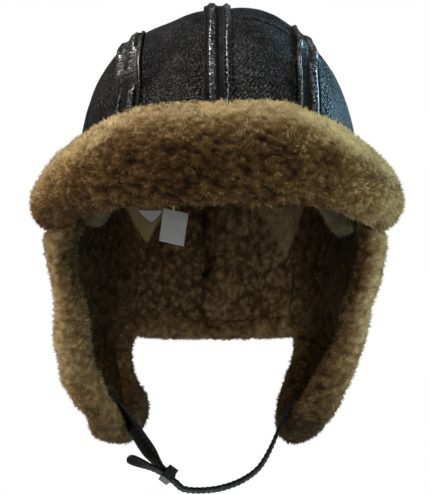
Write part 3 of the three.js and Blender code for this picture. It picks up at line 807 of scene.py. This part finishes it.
def spread_across(start, end, steps):
    """Distances across the helmet that lie evenly over the crown."""
    low, high = (math.asin(unbent(v / BAND_HALF_WIDTH)) for v in (start, end))
    return BAND_HALF_WIDTH * bent(np.sin(np.linspace(low, high, steps + 1)))


TAPE_HALF = {"left": 7.5, "centre": 9.0, "right": 7.5}
TAPE_MIDDLE = {"left": -SEAM_REACH, "centre": 0.0, "right": SEAM_REACH}
FRONT_CREASE = (64, 16, 47, 1.6, 1.1)  # its turn in degrees, from and to across, width, depth


def hide_relief(points, across, turn):
    """How far the leather stands above its smooth form: soft folds, pleats at the tapes and a crease."""
    relief = 0.45 * rough_noise(points, 19, 3) + 0.3 * rough_noise(points * [1, 1, 1.7], 6.5, 8)
    for side in TAPE_HALF:
        gap = np.abs(np.abs(across - TAPE_MIDDLE[side]) - TAPE_HALF[side])
        pleats = soft_noise(points * [0.15, 1, 1], 2.9, 21)
        relief += 0.42 * np.exp(-gap / 4.5) * pleats
    crease_turn, start, end, wide, deep = FRONT_CREASE
    ahead = (np.degrees(turn) - crease_turn) * 2.0 + 1.6 * np.sin(across / 6)
    inside = window(across, start - 3, start + 3, end - 3, end + 3)
    relief -= deep * inside * bell(ahead / wide)
    relief += 0.7 * deep * inside * bell((ahead - 3) / 2.2)
    return relief


def crown_panel(node, start, end, columns):
    across = spread_across(start, end, columns)[:, None]
    turn = np.linspace(0, np.pi, 160)[None]
    smooth = slice_point(across, turn, 0.0)
    relief = hide_relief(smooth, across, turn)
    edge = smoothstep(np.minimum(turn, np.pi - turn), 0, 0.06)
    outer = smooth + outward(smooth) * (relief * edge)[..., None]
    inner = slice_point(across, turn, -LEATHER_WALL)
    tone = 0.35 + 0.5 * relief / 0.9
    sheet_piece(f"{node}_leather", outer, inner, LEATHER, "leather", node, tone)


# Each tape's gathered folds: where each one is, in shares of the half width, how wide and how high
TAPE_FOLDS = {
    "left": [(-0.7, 0.15, 0.8), (0.28, 0.36, 1.2), (0.92, 0.08, 0.7)],
    "centre": [(-0.92, 0.07, 0.3), (-0.4, 0.32, 1.3), (0.7, 0.16, 0.9), (0.96, 0.05, 0.5)],
    "right": [(-0.82, 0.13, 0.9), (0.42, 0.3, 1.1), (0.94, 0.06, 0.5)],
}


# Between which turns, in degrees, the side tapes' folds lie flat, and how strongly each is gathered
TAPE_SLACK = {"left": (33, 58), "right": (48, 60)}
TAPE_GATHER = {"left": 0.75, "centre": 1.0, "right": 0.55}


def tape_profile(side, share, turn):
    """Height of a tape over its width, from its gathered folds, and how gathered it is there."""
    slack = 0
    if side in TAPE_SLACK:
        start, end = TAPE_SLACK[side]
        slack = window(np.degrees(turn), start, start + 5, end - 5, end)
    ridge = 0
    for at, wide, high in TAPE_FOLDS[side]:
        ridge = ridge + high * bell((share - at) / wide, 4) * (1 - 0.85 * slack * (at < 0.8))
    hem = 1 - smoothstep(np.abs(share), 0.86, 1.0)
    return TAPE_THICKNESS * (0.25 + 0.75 * hem) + TAPE_RIDGE * 1.15 * ridge, np.minimum(ridge, 1.2)


# Where a tape is bunched up: the side, turn in degrees, how far it reaches along and how high it stands
BUNCHES = [("left", 62, 9, 1.8), ("left", 47, 6, 1.2), ("right", 60, 7, 1.5), ("centre", 84, 8, 1.0)]


def tape_surface(side, share, turn, lift):
    """Points of a tape's face at shares of its half width and turns over the crown."""
    middle, half = TAPE_MIDDLE[side], TAPE_HALF[side]
    length = 1.9 * CROWN_HEIGHT * turn / (np.pi / 2)
    seed = 40 + int(middle)
    sway = 0.9 * soft_noise(np.stack([length * 0, length, length * 0], axis=-1), 34, seed)
    across = middle + share * half + sway
    height, ridge = tape_profile(side, share, turn)
    slanted = length + 1.6 * share
    pleat_place = np.stack([share * 3.2 + 0 * length, slanted, 0 * slanted], axis=-1)
    pleats = 0.8 * soft_noise(pleat_place, 1.8, seed + 1) + 0.4 * soft_noise(pleat_place, 1.3, seed + 2)
    pleats = pleats * TAPE_GATHER[side]
    slack = 0.5 + 0.5 * soft_noise(pleat_place * [0.2, 1, 1], 22, seed + 3)
    height = height + 0.62 * pleats * (0.12 + 0.75 * ridge) * (0.5 + 0.7 * slack)
    gather = ridge * (0.8 + 0.3 * pleats)
    for place, at, reach, high in BUNCHES:
        if place == side:
            bunch = bell((np.degrees(turn) - at) / reach) * (1 - 0.4 * share)
            height = height + high * bunch
            gather = gather + 0.3 * high * bunch
    return slice_point(across, turn, CLEARANCE + lift * height), gather


def seam_tape(side):
    share = np.linspace(-1, 1, 23)[:, None]
    end = height_turn(CLEARANCE)
    turn = np.concatenate([np.linspace(end, 1.25, 190), np.linspace(1.25, np.pi - end, 130)[1:]])[None]
    share, turn = np.broadcast_arrays(share, turn)
    outer, gather = tape_surface(side, share, turn, 1.0)
    inner, _ = tape_surface(side, share, turn, 0.0)
    tone = 0.1 + 0.75 * gather
    sheet_piece(f"seam_tape_leather_{side}", outer, inner, TAPE, "tape", f"seam_tape_{side}", tone)


def stitch_line(path, up, pitch, length, radius):
    """Stitches along a path on a face whose outward directions are up: points and triangles."""
    along = lengths_along(path)
    stitches = []
    t = np.linspace(0, 1, 4)
    for centre in np.arange(pitch / 2, along[-1] - length / 2, pitch):
        at = centre + (t - 0.5) * length
        middle, high = (
            np.stack([np.interp(at, along, values[:, k]) for k in range(3)], axis=1)
            for values in (path, up)
        )
        high = unit(high)
        ahead = unit(np.gradient(middle, axis=0))
        middle = middle + high * (radius * (1.5 * np.sin(np.pi * t) - 0.8))[:, None]
        thin = radius * (0.45 + 0.55 * np.sin(np.pi * t))
        grid = middle[:, None] + thin[:, None, None] * circles(np.cross(ahead, high), high, 4)
        points, quads, tris = sweep(grid)
        stitches.append((points, np.vstack([quads[:, :3], quads[:, [0, 2, 3]], tris])))
    return joined(stitches)


def stitch_piece(name, lines, slot):
    """One piece of thread from several stitch lines: (path, up, pitch, length, radius)."""
    points, tris = joined([stitch_line(*line) for line in lines])
    keep(make_piece(name, points, np.empty((0, 4), int), tris, THREAD), slot)


def tape_stitches():
    lines = []
    for side in TAPE_HALF:
        for share in (-0.5, 0.5, -0.97, 0.97):
            turn = np.radians(np.linspace(8, 172, 260))
            path, _ = tape_surface(side, np.full_like(turn, share), turn, 1.0)
            lines.append((path, outward(path), *(TAPE_STITCH if abs(share) < 0.9 else TAPE_EDGE_STITCH)))
    stitch_piece("tape_stitches", lines, "tape")


half_gap = CLEARANCE / 2
crown_panel("crown_side_left", -BAND_HALF_WIDTH, -SEAM_REACH - half_gap, 34)
crown_panel("crown_top_left", -SEAM_REACH + half_gap, -half_gap, 32)
crown_panel("crown_top_right", half_gap, SEAM_REACH - half_gap, 32)
crown_panel("crown_side_right", SEAM_REACH + half_gap, BAND_HALF_WIDTH, 34)
for tape_side in TAPE_HALF:
    seam_tape(tape_side)
tape_stitches()


# Brim


def brim_point(angle, height, side, sunk):
    """A point of the brim's section at a height share. side is 0 on its face and 1 against the helmet."""
    angle, height = np.broadcast_arrays(np.asarray(angle, float), np.asarray(height, float))
    around = np.abs(angle)
    past = np.clip((around - (BRIM_END - BRIM_TAPER)) / BRIM_TAPER, 0, 1)
    full = np.maximum(0.14, np.sqrt(1 - past * past))
    droop = BRIM_DROOP[0] * smoothstep(around, *BRIM_DROOP[1:])
    tall = BRIM_HEIGHT * lerp(1, BRIM_NARROW[0], smoothstep(around, *BRIM_NARROW[1:]))
    z = BRIM_FOOT - droop + tall / 2 + (height - 0.5) * tall * full
    below = z < 0
    stand = stance(angle, np.maximum(-z, 0))
    inner = np.where(below, stand + 0.7, CLEARANCE)
    outer = BRIM_DEPTH * full * read_table(BRIM_SECTION, 1, height) - sunk
    offset = np.where(side > 0, inner, np.maximum(outer, inner + 1.2))
    low = skirt_point(angle, np.maximum(-z, 0), offset - stand)
    high = dome_point(angle, height_turn(np.maximum(z, 0)), offset)
    return np.where(below[..., None], low, high)


def brim():
    angle = np.linspace(-BRIM_END, BRIM_END, 340)[:, None]
    face = (1 - np.cos(np.linspace(0, np.pi, 94))) / 2
    back = np.linspace(1, 0, 16)[1:-1]
    height = np.concatenate([face, back])[None]
    side = np.repeat([0.0, 1.0], [len(face), len(back)])[None]
    grid = brim_point(angle, height, side, TUFT_ROOM)

    # The left corner stands out unevenly
    uneven = smoothstep(-angle, 32, 55) * (1 - side) * np.minimum(5 * height * (1 - height), 1)
    uneven = uneven * rough_noise(grid, 13, 57)
    grid = grid + facing_normals(grid, True) * (2.4 * uneven)[..., None]

    # How smooth the fleece lies: most of all along the upper half and on the right
    band = window(height, 0.55, 0.72, 0.9, 1.0)
    calm = 0.6 * band + 0.7 * smoothstep(angle, 22, 55) + 0.4 * smoothstep(-angle, 35, 65)
    aside = smoothstep(np.abs(angle), 60, 88)
    calm = np.minimum(calm, 0.85) * (1 - 0.75 * aside)
    still = np.where(side > 0, 0.0, 1 - 0.65 * calm)

    # Painted light: paler along the top, lit from above, and towards both ends and on the right, lit from
    # the sides
    # Painted shadow at the left corner's foot and painted shade on the face against the helmet; paler
    # along the right foot
    shade = 0.56 * smoothstep(height, 0.45, 0.9) + 0.3 * smoothstep(np.abs(angle), 25, 75) - 0.24
    shade = shade - 0.06 * (1 - smoothstep(height, 0.12, 0.25)) + 0.16 * smoothstep(angle, 12, 50)
    shade = shade + 0.26 * smoothstep(-angle, 18, 48) * smoothstep(height, 0.25, 0.6)
    shade = shade + 0.2 * smoothstep(angle, 15, 45) * smoothstep(height, 0.35, 0.6)
    foot = 1 - smoothstep(height, 0.12, 0.32)
    shade = shade - 0.2 * foot * smoothstep(-angle, 30, 55) + 0.12 * foot * smoothstep(angle, 0, 30)
    shade = np.minimum(shade, 0.45 - 0.24 * aside) - 0.1 * side

    def comb(root):
        rise = smoothstep(root[:, 2], 30, 60) * 0.3 - (1 - smoothstep(root[:, 2], -18, 5)) * 0.35
        return np.stack([0 * rise, 0 * rise, rise], axis=1)

    fleece_piece(
        "brim", grid, FLEECE, "fleece", ["brim_fleece"], fill=0.7, clump=5.0, depth=3.8, count=30500,
        length=2.7, width=0.5, seed=51, squeeze=(0.75, 0.75, 1.3), comb=comb, curl=3.4, pull=1.0,
        contrast=0.5 * (1 - 0.75 * calm), painted_depth_shade=0.95, bare=np.where(side > 0, 0.02, 1.0),
        still=still, tint=shade,
    )


brim()


# Rolls of fleece


# Where a roll swells or shrinks: the place, how far that reaches and by how much
SWELLS = [
    ((-84, 0, -22), 18, -5.5), ((-82, 0, -52), 18, -5.5), ((-113, 0, -22), 16, 4.0),
    ((-117, 0, -88), 13, 3.0), ((-108, 0, -122), 11, 3.5), ((-94, 0, -148), 8, -5.0),
    ((-89, 0, -162), 10, 2.5), ((-47, 0, -138), 14, 5.0),
    ((87, 0, -22), 18, -7.5), ((84, 0, -52), 18, -7.0), ((80, 0, -85), 15, -5.0),
    ((113, 0, -22), 16, 5.0), ((111, 0, -56), 17, 5.5), ((106, 0, -86), 16, 4.5),
    ((46, 0, -125), 14, 3.0), ((46, 0, -100), 9, -2.0),
]


def swollen(grid, path):
    """Rings of a roll pushed away from their middle line, or drawn in to it."""
    away = unit(grid - path[:, None])
    total = np.zeros(grid.shape[:2])
    for place, reach, much in SWELLS:
        far = np.linalg.norm((grid - place)[..., [0, 2]], axis=-1)
        total += much * bell(far / reach)
    return grid + away * total[..., None]


def ear_roll(word, side):
    t = np.linspace(0, 1, 250)
    angle, drop = edge_at(t)
    path = skirt_point(side * np.minimum(angle, NECK_SEAM - 0.1), drop, -SHEET_DEPTH / 2)
    size = roll_size(t)
    grid = roll_grid(path, size - EAR_ROLL_ROOM, 0.03, 48)

    # Flat against the crown's side near the band, and free below it
    away = unit(path * [1, 1, 0])[:, None]
    out = ((grid - path[:, None]) * away).sum(axis=-1, keepdims=True)
    free = smoothstep(-grid[..., 2:], 16, 30)
    grid = grid - away * np.maximum(out - lerp(SHEET_DEPTH / 2 - 1.5, 20, free), 0)
    grid[..., 2] = np.minimum(grid[..., 2], -1.0)
    grid = swollen(grid, path)

    # Paler on its outer side in front and darker at the foot; painted shadow of the brim inside near the
    # band, and painted shade low on the right
    outer = ((grid - path[:, None]) * away).sum(axis=-1) / size[:, None]
    fore = 1 - smoothstep(t, 0.42, 0.58)[:, None]
    shade = 0.29 * fore * outer - 0.03 - 0.23 * smoothstep(-grid[..., 2], 128, 165)
    shade = shade - 0.28 * smoothstep(grid[..., 2], -110, -35) * (1 - smoothstep(outer, 0.1, 0.8))
    shade = shade - (0.12 if side > 0 else -0.02) * smoothstep(-grid[..., 2], 80, 120)
    fleece_piece(
        f"ear_roll_fleece_{word}", grid, TRIM, "fleece", [f"ear_roll_{word}"], fill=0.6, clump=4.4,
        depth=2.4, count=17000, length=2.2, width=0.5, seed=61 + side, curl=3.0, pull=1.1,
        contrast=0.65, painted_depth_shade=0.75, tint=shade,
    )


def neck_roll():
    t = np.linspace(0, 1, 110)
    start = NECK_SEAM - 1.6
    path = skirt_point(lerp(start, 360 - start, t), neck_level(t), -SHEET_DEPTH / 2)
    grid = roll_grid(path, REAR_ROLL - NECK_ROLL_ROOM, 0.03, 40)
    fleece_piece(
        "neck_roll_fleece", grid, TRIM, "fleece", ["neck_roll"], fill=0.6, clump=6.5, depth=2.6,
        count=8000, length=1.9, width=0.55, seed=71, comb=comb_down, painted_depth_shade=0.9, tint=-0.06,
    )


def brow_roll():
    t = np.linspace(0, 1, 150)
    angle = lerp(-BROW_END - 6, BROW_END + 7, t)
    base = band_point(angle)
    near = 3.0 * smoothstep(np.abs(angle), BROW_LEVEL, BROW_END - 6)
    path = base - outward(base) * (LEATHER_WALL + 0.7 + BROW_ROLL - near)[:, None]
    low = BROW_DROOP + np.where(angle > 0, 4.0, -2.5)
    path[:, 2] = lerp(BROW_RISE, -low, smoothstep(np.abs(angle), BROW_LEVEL, BROW_END))
    grid = roll_grid(path, BROW_ROLL - BROW_ROLL_ROOM, 0.05, 36)
    fleece_piece(
        "brow_roll_fleece", grid, BROW_FLEECE, "fleece", ["brow_roll"], fill=0.7, clump=6.0, depth=1.6,
        count=6000, length=2.2, width=0.6, seed=81, tint=0.12,
    )


SIDES = {"left": -1, "right": 1}
for word, side in SIDES.items():
    ear_roll(word, side)
neck_roll()
brow_roll()


# Flaps: leather outside and fleece inside


def flap_grid(offset, side, inset, across, down, start):
    """A grid over an ear flap, with its edges drawn in under the roll, and its angles and drops."""
    drop = np.linspace(start, FLAP_DROP - inset, down)[None]
    spot = np.minimum(drop * FLAP_DROP / (FLAP_DROP - inset), FLAP_DROP)
    low = smoothstep(drop, 0.5 * FLAP_DROP, 0.62 * FLAP_DROP)
    front = edge_angle(spot, False) + inset / MM_PER_DEGREE
    rear = edge_angle(spot, True) - 0.1 - low * inset / MM_PER_DEGREE
    angle = side * lerp(front, np.maximum(rear, front + 1), np.linspace(0, 1, across)[:, None])
    return skirt_point(angle, drop, offset), angle, drop + 0 * angle


def neck_grid(offset, inset, across, down, start):
    """A grid over the neck flap, down to its roll, and its angles and drops."""
    share = np.linspace(0, 1, across)[:, None]
    drop = lerp(start, neck_level(share) - inset, np.linspace(0, 1, down)[None])
    angle = lerp(NECK_SEAM - 0.1, 360 - NECK_SEAM + 0.1, share) + 0 * drop
    return skirt_point(angle, drop, offset), angle, drop


def flap_relief(points, angle, drop):
    """Folds of the flap leather, its welt at the band and its ridges at the neck and back seams."""
    relief = 0.7 * rough_noise(points, 24, 13) + 0.32 * rough_noise(points, 7, 18)
    pleats = 0.35 * np.exp(-drop / 8) * soft_noise(points * [1, 1, 0.2], 3.0, 24)
    relief += 0.9 * bell((drop - 3.5) / 2.6) + pleats
    for seam, high, deep, wide in ((NECK_SEAM, 0.7, 0.5, 1.1), (180, 0.6, 0.7, 1.0)):
        beside = np.abs(np.abs(signed(angle)) - seam) * MM_PER_DEGREE
        relief += high * bell((beside - 3.0) / 2.0) - deep * bell(beside / wide)
    return relief


def flap_leather(name, node, grid_at):
    outer, angle, drop = grid_at(0.0)
    inner, _, _ = grid_at(-LEATHER_WALL)
    relief = flap_relief(outer, angle, drop) * smoothstep(drop, CLEARANCE, 1.5)
    outer = outer + unit(outer - inner) * relief[..., None]
    sheet_piece(name, outer, inner, LEATHER, "leather", node, 0.35 + 0.4 * relief)


def off_back_seam(angle, drop):
    """How much of the fleece stands, from 0 on the crooked centre-back seam to 1 away from it."""
    seam = BACK_SEAM + 0.9 * np.sin(drop / 9) + 0.5 * np.sin(drop / 3.7)
    return 1 - bell((np.abs(angle) - seam) * MM_PER_DEGREE / 2.3)


def pale_patch(angle, drop):
    """Where the fleece is thin and pale: a corner by the left neck seam and one along the right."""
    around = np.abs(angle)
    left = np.minimum(1.64 * (around - 131), 27 - 2.2 * np.maximum(around - 147, 0))
    left = np.where(angle < 0, left, -9)
    right = np.minimum(39 - 2.2 * (around - 147), 39 - 3.6 * (147 - around))
    right = np.where(angle > 0, right, -9)
    return np.maximum(smoothstep(left - drop, -1.5, 1.5), 0.65 * smoothstep(right - drop, -4, 4))


def flap_lining(name, node, grid_at, count, seed, tint):
    face, angle, drop = grid_at(TUFT_ROOM - SHEET_DEPTH)
    back, _, _ = grid_at(-(LEATHER_WALL + CLEARANCE))
    stand = off_back_seam(angle, drop)
    angle = signed(angle)
    worn = pale_patch(angle, drop)
    # Painted shade darkens the ear linings inside the flaps, less towards the neck seams; painted light
    # pales every lining low down, towards its open edge. The neck lining is also paler right of the back
    # near its top
    tint = tint * (1 - smoothstep(np.abs(angle), 118, NECK_SEAM + 4)) + 0.08 * smoothstep(drop, 40, 80)
    tint = tint + 0.13 * smoothstep(angle, 140, 154) * (1 - smoothstep(drop, 50, 74))
    tint = lerp(tint, np.where(angle < 0, 0.85, 0.62), worn)
    sunk = face + unit(back - face) * (3.0 * (1 - stand))[..., None]
    fleece_piece(
        name, sunk, LINING, "lining", [node], fill=0.5, clump=5.0, depth=3.8, count=count, length=2.2,
        width=0.5, seed=seed, squeeze=(1.1, 1.1, 0.9), comb=comb_down, pull=0.9, contrast=0.5,
        painted_depth_shade=0.95, tint=tint - 0.3 * (1 - stand), bare=(0.25 + 0.75 * stand) * (1 - 0.7 * worn),
        inner=back, still=1 - 0.8 * worn,
    )


for word, side in SIDES.items():
    leather_at = partial(flap_grid, side=side, inset=6.5, across=46, down=70, start=0.1)
    flap_leather(f"ear_flap_leather_{word}", f"ear_flap_{word}", leather_at)
    lining_at = partial(flap_grid, side=side, inset=8.0, across=52, down=78, start=-1.5)
    # -0.3: painted shade inside the ear flaps
    flap_lining(f"ear_lining_fleece_{word}", f"ear_lining_{word}", lining_at, 8000, 91 + side, -0.3)
leather_at = partial(neck_grid, inset=5.5, across=66, down=42, start=0.1)
flap_leather("neck_flap_leather", "neck_flap", leather_at)
lining_at = partial(neck_grid, inset=6.5, across=130, down=72, start=-1.5)
flap_lining("neck_lining_fleece", "neck_lining", lining_at, 9500, 101, 0.0)


def crown_lining():
    rise = np.linspace(0, np.radians(89.2), 46)
    rings = np.concatenate([rise[::-1], rise])[:, None]
    inside = np.repeat([0.0, 1.0], len(rise))[:, None]
    offset = np.where(inside > 0, TUFT_ROOM - SHEET_DEPTH, -(LEATHER_WALL + CLEARANCE))
    grid = dome_point(np.linspace(0, 360, 170, endpoint=False)[None], rings, offset)
    fleece_piece(
        "crown_lining_fleece", grid, LINING, "lining",
        [f"crown_lining_{part}" for part in ("side_left", "top_left", "top_right", "side_right")],
        fill=0.5, clump=7.5, depth=3.0, count=6000, length=2.8, width=0.7, seed=111, bare=inside,
        still=inside,
    )


crown_lining()


def flap_stitches():
    """Seams of the flaps: along the band, down the neck seams and down the back."""
    around = np.linspace(100, 260, 240)
    down = np.linspace(8, 74, 120)
    runs = [(around, np.full_like(around, drop)) for drop in (1.6, 6.8)]
    for seam in (NECK_SEAM, 180, 360 - NECK_SEAM):
        runs += [(np.full_like(down, seam + beside), down) for beside in (-2.6, 2.6)]
    lines = []
    for angle, drop in runs:
        path = skirt_point(angle, drop, 0.0)
        away = outward(path * [1, 1, 0])
        path = path + away * flap_relief(path, angle, drop)[:, None]
        lines.append((path, away, *FLAP_STITCH))
    stitch_piece("flap_stitches", lines, "leather")


flap_stitches()


# Chin strap


def turned(vector, axis, degrees):
    """A vector turned about a unit axis."""
    a = np.radians(degrees)
    along = (vector * axis).sum(axis=-1, keepdims=True)
    return vector * np.cos(a) + np.cross(axis, vector) * np.sin(a) + axis * along * (1 - np.cos(a))


def strap_sides(ahead, tilt):
    """The directions across a strap's width and through its thickness."""
    level = unit(np.array([0.0, 1.0, 0.0]) - ahead * ahead[..., 1:2])
    wide = turned(level, ahead, np.asarray(tilt)[..., None])
    return wide, unit(np.cross(ahead, wide))


def round_roll(side, turn):
    """Where a strap passes round the inside of the low roll, turn degrees above the level."""
    t = np.interp(STRAP_ANGLE, EDGE_CURVE[:, 0], np.linspace(0, 1, len(EDGE_CURVE)))
    centre = skirt_point(side * STRAP_ANGLE, edge_at(t)[1], -SHEET_DEPTH / 2)
    reach = roll_size(t) + STRAP_LIE
    turn = math.radians(turn)
    return centre + reach * np.array([-side * math.cos(turn), 0, math.sin(turn)])


def sewn_end(side):
    top = skirt_point(side * STRAP_ANGLE, STRAP_SEWN * FLAP_DROP, -SHEET_DEPTH - STRAP_LIE)
    return [top, round_roll(side, 48), round_roll(side, 10)]


tilt_up = math.radians(BUCKLE_TURN)
BUCKLE_ALONG = np.array([-math.cos(tilt_up), 0.0, math.sin(tilt_up)])
BUCKLE_DOWN = strap_sides(BUCKLE_ALONG, BUCKLE_TILT)[1]
BUCKLE_MIDDLE = np.array([-BUCKLE_REACH, round_roll(1, 0)[1], -BUCKLE_LOW * STRAP_LOWEST])
PLY_GAP = (STRAP_THICKNESS + CLEARANCE) / 2


def buckle_point(along, down):
    return BUCKLE_MIDDLE + along * BUCKLE_ALONG + down * BUCKLE_DOWN


def strap(name, node, route, steps, tilt, seed):
    """A leather strap with rounded edges, sewn along both of them. tilt turns it along its length."""
    line = smooth_curve(route, steps)
    wide, thick = strap_sides(unit(np.gradient(line, axis=0)), tilt(np.linspace(0, 1, steps + 1)))
    turn = 2 * np.pi * np.arange(28) / 28
    across = STRAP_WIDTH / 2 * np.sign(np.cos(turn)) * np.abs(np.cos(turn)) ** 0.35
    through = STRAP_THICKNESS / 2 * np.sign(np.sin(turn)) * np.abs(np.sin(turn)) ** 0.6
    length = np.linalg.norm(np.diff(line, axis=0), axis=1).sum()
    ends = round_ends(steps + 1, 1.2 / length)
    rounded = round_ends(steps + 1, 4.5 / length)
    groove = 1 - 0.16 * bell((np.abs(across) - STRAP_SEAM) / 0.5)
    grid = line[:, None] + wide[:, None] * across[None, :, None] * rounded[:, None, None]
    grid = grid + thick[:, None] * (through * groove)[None, :, None] * ends[:, None, None]
    grid = grid + 0.12 * thick[:, None] * soft_noise(grid, 9, seed)[..., None]
    worn = (np.abs(across)[None] / (STRAP_WIDTH / 2)) ** 6
    tone = 0.2 + 0.7 * worn + 0.2 * soft_noise(grid, 12, seed + 1)
    tone = np.concatenate([tone.ravel(), [0.4, 0.4]])
    keep(make_piece(name, *sweep(grid), STRAP, tone), "strap", node)
    lines = []
    for edge, face in itertools.product((-STRAP_SEAM, STRAP_SEAM), (-1, 1)):
        path = line + wide * edge + thick * (face * STRAP_THICKNESS / 2 * 0.86)
        lines.append((path[4:-4], thick[4:-4] * face, *STRAP_STITCH))
    stitch_piece(f"{name}_stitches", lines, "strap")


TAB_ROUTE = [
    *sewn_end(-1), buckle_point(BUCKLE_LENGTH, -PLY_GAP), buckle_point(0, -PLY_GAP),
    buckle_point(-TAB_PAST, -PLY_GAP),
]
STRAP_ROUTE = [
    *sewn_end(1),
    np.array([0.8 * BUCKLE_REACH, BUCKLE_MIDDLE[1], -0.935 * STRAP_LOWEST]),
    np.array([0.1 * BUCKLE_REACH, BUCKLE_MIDDLE[1], -STRAP_LOWEST]),
    buckle_point(-2 * BUCKLE_LENGTH, PLY_GAP + CLEARANCE),
    buckle_point(-BUCKLE_LENGTH, PLY_GAP),
    buckle_point(0, PLY_GAP),
    buckle_point(BUCKLE_LENGTH, PLY_GAP + CLEARANCE),
    buckle_point(TAIL_LENGTH, PLY_GAP + TAIL_HANG),
]


def tab_tilt(t):
    return -BUCKLE_TILT * smoothstep(t, 0.1, 0.7) - 28 * window(t, 0.15, 0.5, 0.68, 0.88)


def strap_tilt(t):
    return BUCKLE_TILT * smoothstep(t, 0.1, 0.6) + 14 * smoothstep(t, 0.88, 0.97)


strap("strap_tab_leather", "strap_tab", TAB_ROUTE, 70, tab_tilt, 121)
strap("chin_strap_leather", "chin_strap", STRAP_ROUTE, 150, strap_tilt, 131)

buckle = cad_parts["strap_buckle"]
buckle.data.materials.clear()
buckle.data.materials.append(METAL)
bevel = buckle.modifiers.new("bevel", "BEVEL")
bevel.width = 0.45 * MM
bevel.segments = 3


# Labels


def label_top(angle):
    return skirt_point(angle, LABEL_TOP, -SHEET_DEPTH - LABEL_HANG)


def label_grid(angle, lean, height, foot, off, curl):
    """A cloth label that hangs off the lining. foot is its lower edge's share of its width."""
    turn = math.radians(lean)
    away = outward(band_point(angle))
    beside = np.array([away[1], -away[0], 0.0])
    u = np.linspace(-0.5, 0.5, 22)[:, None]
    v = np.linspace(0, 1, 26)[None]
    x = u * LABEL_WIDTH * lerp(1, foot, v**1.35)
    down = v * height
    wave = curl * (np.cos(3.4 * u + 2 * v) * v + 1.3 * (u * v) ** 2)
    lift = LABEL_SLOPE * down + wave + off
    flat = beside * (x * np.cos(turn) + down * np.sin(turn))[..., None]
    fall = np.array([0.0, 0.0, -1.0]) * (down * np.cos(turn) - x * np.sin(turn))[..., None]
    return label_top(angle) + flat + fall - away * lift[..., None], away


def label_sheet(name, node, plies):
    """A flat piece of cloth that is bent, from the points and faces of its plies."""
    piece = keep(make_piece(name, *joined(plies), np.empty((0, 3), int), CLOTH), "cloth", node)


def care_label():
    face, away = label_grid(CARE_LABEL_ANGLE, CARE_LABEL_LEAN, LABEL_HEIGHT, 1.0, 0.35, 0.9)
    plies = [shell(face, face + away * 0.35)[:2]]
    label_sheet("care_label_cloth", "care_label", plies)


def size_label():
    """A strip whose two lower corners are folded behind it to a point."""
    reach = np.linalg.norm(label_top(CARE_LABEL_ANGLE + 10) - label_top(CARE_LABEL_ANGLE))
    angle = CARE_LABEL_ANGLE + 10 * (LABEL_WIDTH + 1.2) / reach
    plies = []
    for off in (0.5, -0.1):
        face, away = label_grid(angle, 0.0, SIZE_LABEL_HEIGHT, 0.08, off, 0.3)
        plies.append(shell(face, face + away * 0.3)[:2])
    label_sheet("size_label_cloth", "size_label", plies)


care_label()
size_label()


# Studio


def pale_floor():
    """A round floor below the helmet."""
    rings, sides, reach, depth = 12, 64, 600.0, -320.0
    turn = 2 * np.pi * np.arange(sides) / sides
    out = reach * np.linspace(0.05, 1, rings)[:, None]
    grid = np.stack([out * np.cos(turn), out * np.sin(turn), np.full((rings, sides), depth)], axis=-1)
    below = grid[-1:] - [0, 0, 6.0]
    make_piece("floor", *sweep(np.concatenate([grid, below])), floor_material("floor"))


# Each light's name, its place and the height that it is aimed at in metres, size, power and colour
LIGHTS = [
    ("key", (-0.5, -0.05, 1.15), 0.0, 0.5, 16.0, (1.0, 0.97, 0.95)),
    ("rim_right", (0.9, 0.8, 0.4), 0.0, 0.5, 6.5, (0.4, 0.76, 1.0)),
    ("side_right", (1.1, -0.4, 0.15), 0.0, 0.5, 8.5, (0.78, 1.0, 0.95)),
    ("rim_left", (-1.15, 0.0, -0.25), -0.08, 0.5, 8.5, (1.0, 0.88, 0.68)),
    ("fill", (0.1, -1.9, 0.05), -0.05, 0.8, 7.5, (1.0, 0.96, 0.9)),
]


def area_light(name, place, aim, size, power, colour):
    data = bpy.data.lights.new(name, "AREA")
    data.shape = "DISK"
    data.size = size
    data.energy = power
    data.color = colour
    light = in_scene(name, data)
    light.location = place
    light.rotation_euler = (Vector((0, 0, aim)) - Vector(place)).to_track_quat("-Z", "Y").to_euler()


def studio():
    pale_floor()
    for light in LIGHTS:
        area_light(*light)
    world = bpy.data.worlds.new("studio")
    bpy.context.scene.world = world
    world.use_nodes = True
    nodes, links = world.node_tree.nodes, world.node_tree.links
    seen = nodes.new("ShaderNodeLightPath").outputs["Is Camera Ray"]
    background = nodes["Background"]
    background.inputs["Color"].default_value = (1, 1, 1, 1)
    strength = nodes.new("ShaderNodeMapRange")
    links.new(seen, strength.inputs["Value"])
    strength.inputs["To Min"].default_value = 0.07
    strength.inputs["To Max"].default_value = 1.0
    links.new(strength.outputs["Result"], background.inputs["Strength"])


def camera():
    """Level with the band, as far off and as narrow as the photograph was taken."""
    place, mm_per_pixel, picture_height, sensor = (-2.0, -1300.0, -30.0), 0.69, 494, 36.0
    data = bpy.data.cameras.new("camera")
    data.sensor_fit = "AUTO"
    data.sensor_width = sensor
    data.lens = sensor * -place[1] / (mm_per_pixel * picture_height)
    view = in_scene("camera", data)
    view.location = Vector(place) * MM
    view.rotation_euler = (math.pi / 2, 0, 0)
    bpy.context.scene.camera = view


camera()
studio()
bpy.context.scene.view_settings.view_transform = "Standard"
